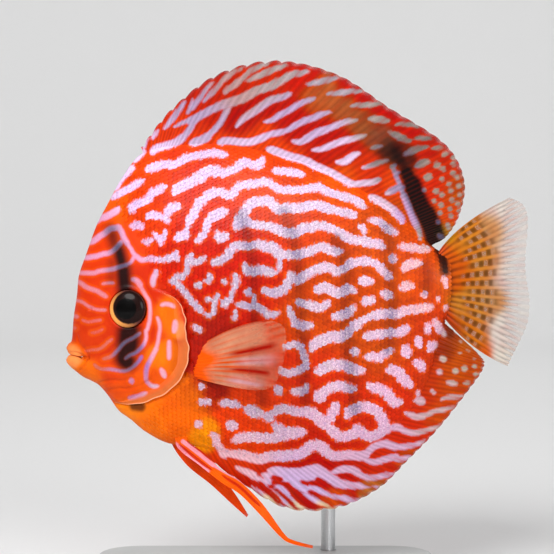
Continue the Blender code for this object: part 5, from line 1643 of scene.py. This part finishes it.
def scale_coat(name, side):
    roots = scale_roots(side)
    leaf = leaf_mesh()
    flat = coordinates(leaf)
    count = len(roots)
    mesh = copied(leaf, count)
    mesh.name = name
    wide = flat[:, 0] * 2.0 - 1.0
    far = flat[:, 1]
    below = flat[:, 2] < -0.5
    pinch = np.interp(far, (0.0, 0.5, 1.0), (0.66, 1.0, 0.78))
    across = wide * pinch * SCALE_WIDTH / 2.0
    back = (far - 0.26 * far * wide ** 2) * SCALE_LENGTH
    lift = -SCALE_SINK + (SCALE_SINK + SCALE_LIFT) * far + SCALE_CROWN * (1.0 - wide ** 2) * far
    lift = np.where(below, lift - SCALE_PLATE, lift)

    place = roots[:, 0:3]
    facing = roots[:, 3:6]
    to_tail = TAIL_MIDDLE - np.stack((place[:, 0], place[:, 2] - FISH_LEVEL), axis=1)
    to_tail /= np.linalg.norm(to_tail, axis=1)[:, None]
    rear = np.stack((1.0 + 0.6 * to_tail[:, 0], np.zeros(count), 0.6 * to_tail[:, 1]), axis=1)
    rear -= facing * (rear * facing).sum(axis=1)[:, None]
    rear /= np.linalg.norm(rear, axis=1)[:, None]
    sideways = np.cross(facing, rear)
    size = dice.uniform(0.94, 1.06, count) * (0.72 + 0.28 * smooth_step(1.0, 5.0, np.abs(place[:, 1])))
    tilt = dice.uniform(-0.05, 0.05, count)
    shift = back[None, :, None] * rear[:, None, :] * size[:, None, None]
    shift = shift + (across[None, :] + tilt[:, None] * back[None, :])[:, :, None] * sideways[:, None, :] * size[:, None, None]
    shift = shift + lift[None, :, None] * facing[:, None, :] * size[:, None, None]
    start = place - rear * (0.30 * SCALE_LENGTH)
    points = (start[:, None, :] + shift).reshape(-1, 3)
    set_coordinates(mesh, points * MM)

    paint_at = points * 0.5 + np.repeat(place + rear * 0.5, len(flat), axis=0) * 0.5
    mark(mesh, paint_at)
    own_tone = dice.uniform(0.0, 1.0, count)
    # The breast's scales are nearly even in tone, and the rest are mottled.
    plain = smooth_step(BREAST_PLAIN_TO, BREAST_PLAIN_FROM, place[:, 0])
    plain *= smooth_step(BREAST_TOP + 3.0, BREAST_TOP - 3.0, place[:, 2] - FISH_LEVEL)
    # Painted shade and light: each scale is darker at its root, where the scale ahead overlaps it, and lighter
    # towards its free tip.
    scale_tone_and_shade = 0.55 * own_tone[:, None] + 0.45 * smooth_step(0.4, 1.0, far)[None, :]
    scale_tone_and_shade = 0.5 + (scale_tone_and_shade - 0.5) * (1.0 - 0.65 * plain[:, None])
    store(mesh, "tone", scale_tone_and_shade.ravel())
    store(mesh, "ragged", np.repeat(1.5 - 1.1 * plain, len(flat)))

    # The bake's map: each scale is a small patch at its root's place on the skin's own unwrap.
    patch = 0.003
    middle_u = roots[:, 6]
    middle_v = roots[:, 7] * 2.0 if side < 0 else (1.0 - roots[:, 7]) * 2.0
    corner_u = (middle_u[:, None] + (far[None, :] - 0.5) * patch).ravel()
    corner_v = (middle_v[:, None] + (flat[None, :, 0] - 0.5) * patch).ravel()
    uv_map = mesh.uv_layers.new(name="OFBake")
    loops = np.empty(len(mesh.loops), np.int32)
    mesh.loops.foreach_get("vertex_index", loops)
    pairs = np.stack((corner_u[loops], corner_v[loops]), axis=1).astype(np.float32)
    uv_map.data.foreach_set("uv", pairs.ravel())
    print(name, "scales:", count)
    piece = as_piece(name, mesh, skin_paint)
    mesh.set_sharp_from_angle(angle=radians(50.0))
    return piece


scale_coat("scales_left", -1.0)
scale_coat("scales_right", 1.0)

# %% [markdown]
# ## Stand
# The stand is meant not to be noticed: a steel plate with a fine powder coat, and a rod, clamp and arm
# of brushed stainless steel. Powder coat shows as a fine even grain, brushing as thin lines along the rod.

# %% Powder coat and brushed steel
def powder_coat():
    """Light grey paint baked from powder: satin, with the fine dimples called orange peel."""
    material, tree = new_material("powder_coated_steel")
    place = add_node(tree, "ShaderNodeTexCoord").outputs["Object"]
    peel = add_node(tree, "ShaderNodeTexNoise", {"Vector": place, "Scale": 1 / (0.5 * MM), "Detail": 2.0})
    broad = add_node(tree, "ShaderNodeTexNoise", {"Vector": place, "Scale": 1 / (20 * MM), "Detail": 2.0})
    colour = add_node(tree, "ShaderNodeMix", {0: broad.outputs["Fac"], 6: linear("a9acab"), 7: linear("b5b7b6")},
                      data_type="RGBA")
    rough = add_node(tree, "ShaderNodeMapRange", {0: peel.outputs["Fac"], 3: 0.42, 4: 0.56})
    dimples = add_node(tree, "ShaderNodeBump", {"Height": peel.outputs["Fac"], "Strength": 0.35,
                                                "Distance": 0.05 * MM})
    shader = add_node(tree, "ShaderNodeBsdfPrincipled",
                      {"Base Color": colour.outputs[2], "Roughness": rough.outputs[0],
                       "Normal": dimples.outputs["Normal"]})
    add_node(tree, "ShaderNodeOutputMaterial", {"Surface": shader.outputs[0]})
    return material


def brushed_steel():
    """Stainless steel brushed round the rod, so its highlights are drawn out into fine lines."""
    material, tree = new_material("brushed_stainless_steel")
    place = add_node(tree, "ShaderNodeTexCoord").outputs["Object"]
    stretch = add_node(tree, "ShaderNodeMapping", {"Vector": place, "Scale": (0.15, 0.15, 1.0)})
    lines = add_node(tree, "ShaderNodeTexNoise", {"Vector": stretch.outputs[0], "Scale": 1 / (0.25 * MM),
                                                  "Detail": 3.0})
    colour = add_node(tree, "ShaderNodeMix", {0: lines.outputs["Fac"], 6: linear("b8b9bb"), 7: linear("d0d1d2")},
                      data_type="RGBA")
    rough = add_node(tree, "ShaderNodeMapRange", {0: lines.outputs["Fac"], 3: 0.24, 4: 0.40})
    grooves = add_node(tree, "ShaderNodeBump", {"Height": lines.outputs["Fac"], "Strength": 0.2,
                                                "Distance": 0.03 * MM})
    shader = add_node(tree, "ShaderNodeBsdfPrincipled",
                      {"Base Color": colour.outputs[2], "Metallic": 1.0, "Roughness": rough.outputs[0],
                       "Normal": grooves.outputs["Normal"]})
    add_node(tree, "ShaderNodeOutputMaterial", {"Surface": shader.outputs[0]})
    return material


def dress(node, material):
    """Gives a CAD node's own mesh a finish, in its material slots."""
    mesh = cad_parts[node].data
    mesh.materials.clear()
    mesh.materials.append(material)


steel = brushed_steel()
dress("stand_base", powder_coat())
for rod in ("stand_post", "stand_clamp", "stand_arm"):
    dress(rod, steel)

# %% [markdown]
# ## Stage
# A photographer would stand the model on a pale sweep, a floor that curves up all round, so that no
# horizon cuts through the picture. It is turned from one profile.

# %% Sweep, lamps and picture colours
SWEEP_RADIUS = 2.6
SWEEP_BEND = 0.9
SWEEP_HEIGHT = 2.4


def make_sweep():
    bm = bmesh.new()
    profile = [bm.verts.new((0.0, 0.0, 0.0)), bm.verts.new((SWEEP_RADIUS - SWEEP_BEND, 0.0, 0.0))]
    for turn in np.linspace(0.0, np.pi / 2, 13)[1:]:
        x = SWEEP_RADIUS - SWEEP_BEND + SWEEP_BEND * np.sin(turn)
        profile.append(bm.verts.new((x, 0.0, SWEEP_BEND * (1.0 - np.cos(turn)))))
    profile.append(bm.verts.new((SWEEP_RADIUS, 0.0, SWEEP_HEIGHT)))
    edges = [bm.edges.new(pair) for pair in zip(profile[:-1], profile[1:])]
    bmesh.ops.spin(bm, geom=profile + edges, axis=(0, 0, 1), cent=(0, 0, 0), angle=2 * np.pi, steps=64,
                   use_merge=True)
    bmesh.ops.remove_doubles(bm, verts=bm.verts, dist=0.0001)
    bmesh.ops.recalc_face_normals(bm, faces=bm.faces)
    mesh = bpy.data.meshes.new("floor")
    bm.to_mesh(mesh)
    bm.free()
    return mesh


def matt_paper():
    """Pale grey paper, matt enough to show no highlight."""
    material, tree = new_material("matt_backdrop_paper")
    place = add_node(tree, "ShaderNodeTexCoord").outputs["Object"]
    grain = add_node(tree, "ShaderNodeTexNoise", {"Vector": place, "Scale": 400.0, "Detail": 2.0})
    tone = add_node(tree, "ShaderNodeMapRange", {0: grain.outputs["Fac"], 3: 0.74, 4: 0.76})
    colour = add_node(tree, "ShaderNodeCombineColor", {0: tone.outputs[0], 1: tone.outputs[0], 2: tone.outputs[0]})
    shader = add_node(tree, "ShaderNodeBsdfPrincipled", {"Base Color": colour.outputs[0], "Roughness": 0.9})
    add_node(tree, "ShaderNodeOutputMaterial", {"Surface": shader.outputs[0]})
    return material


sweep_mesh = make_sweep()
sweep_mesh.materials.append(matt_paper())
sweep_mesh.shade_smooth()
sweep = bpy.data.objects.new("floor", sweep_mesh)
bpy.context.scene.collection.objects.link(sweep)


def softbox(name, place, aim, size, watts, hex_colour="ffffff"):
    lamp = bpy.data.lights.new(name, "AREA")
    lamp.shape = "DISK"
    lamp.size = size
    lamp.energy = watts
    lamp.color = linear(hex_colour)[:3]
    holder = bpy.data.objects.new(name, lamp)
    holder.location = place
    holder.rotation_euler = (Vector(aim) - Vector(place)).to_track_quat("-Z", "Y").to_euler()
    bpy.context.scene.collection.objects.link(holder)
    return holder


FISH_CENTRE = (0.0, 0.0, 0.1)
softbox("key_softbox", (-0.45, -1.0, 0.95), FISH_CENTRE, 0.7, 16.0)
softbox("fill_softbox", (1.0, -1.6, 0.60), FISH_CENTRE, 0.9, 16.0)
softbox("back_softbox", (0.2, 1.5, 1.9), FISH_CENTRE, 1.0, 3.0)
softbox("wall_softbox", (0.0, 0.9, 2.3), (0.0, 2.6, 0.5), 1.6, 20.0)

world = bpy.data.worlds.new("studio")
world.use_nodes = True
world.node_tree.nodes.clear()
sky = add_node(world.node_tree, "ShaderNodeBackground", {"Color": linear("ffffff"), "Strength": 0.30})
add_node(world.node_tree, "ShaderNodeOutputWorld", {"Surface": sky.outputs[0]})
bpy.context.scene.world = world
bpy.context.scene.view_settings.view_transform = "Standard"
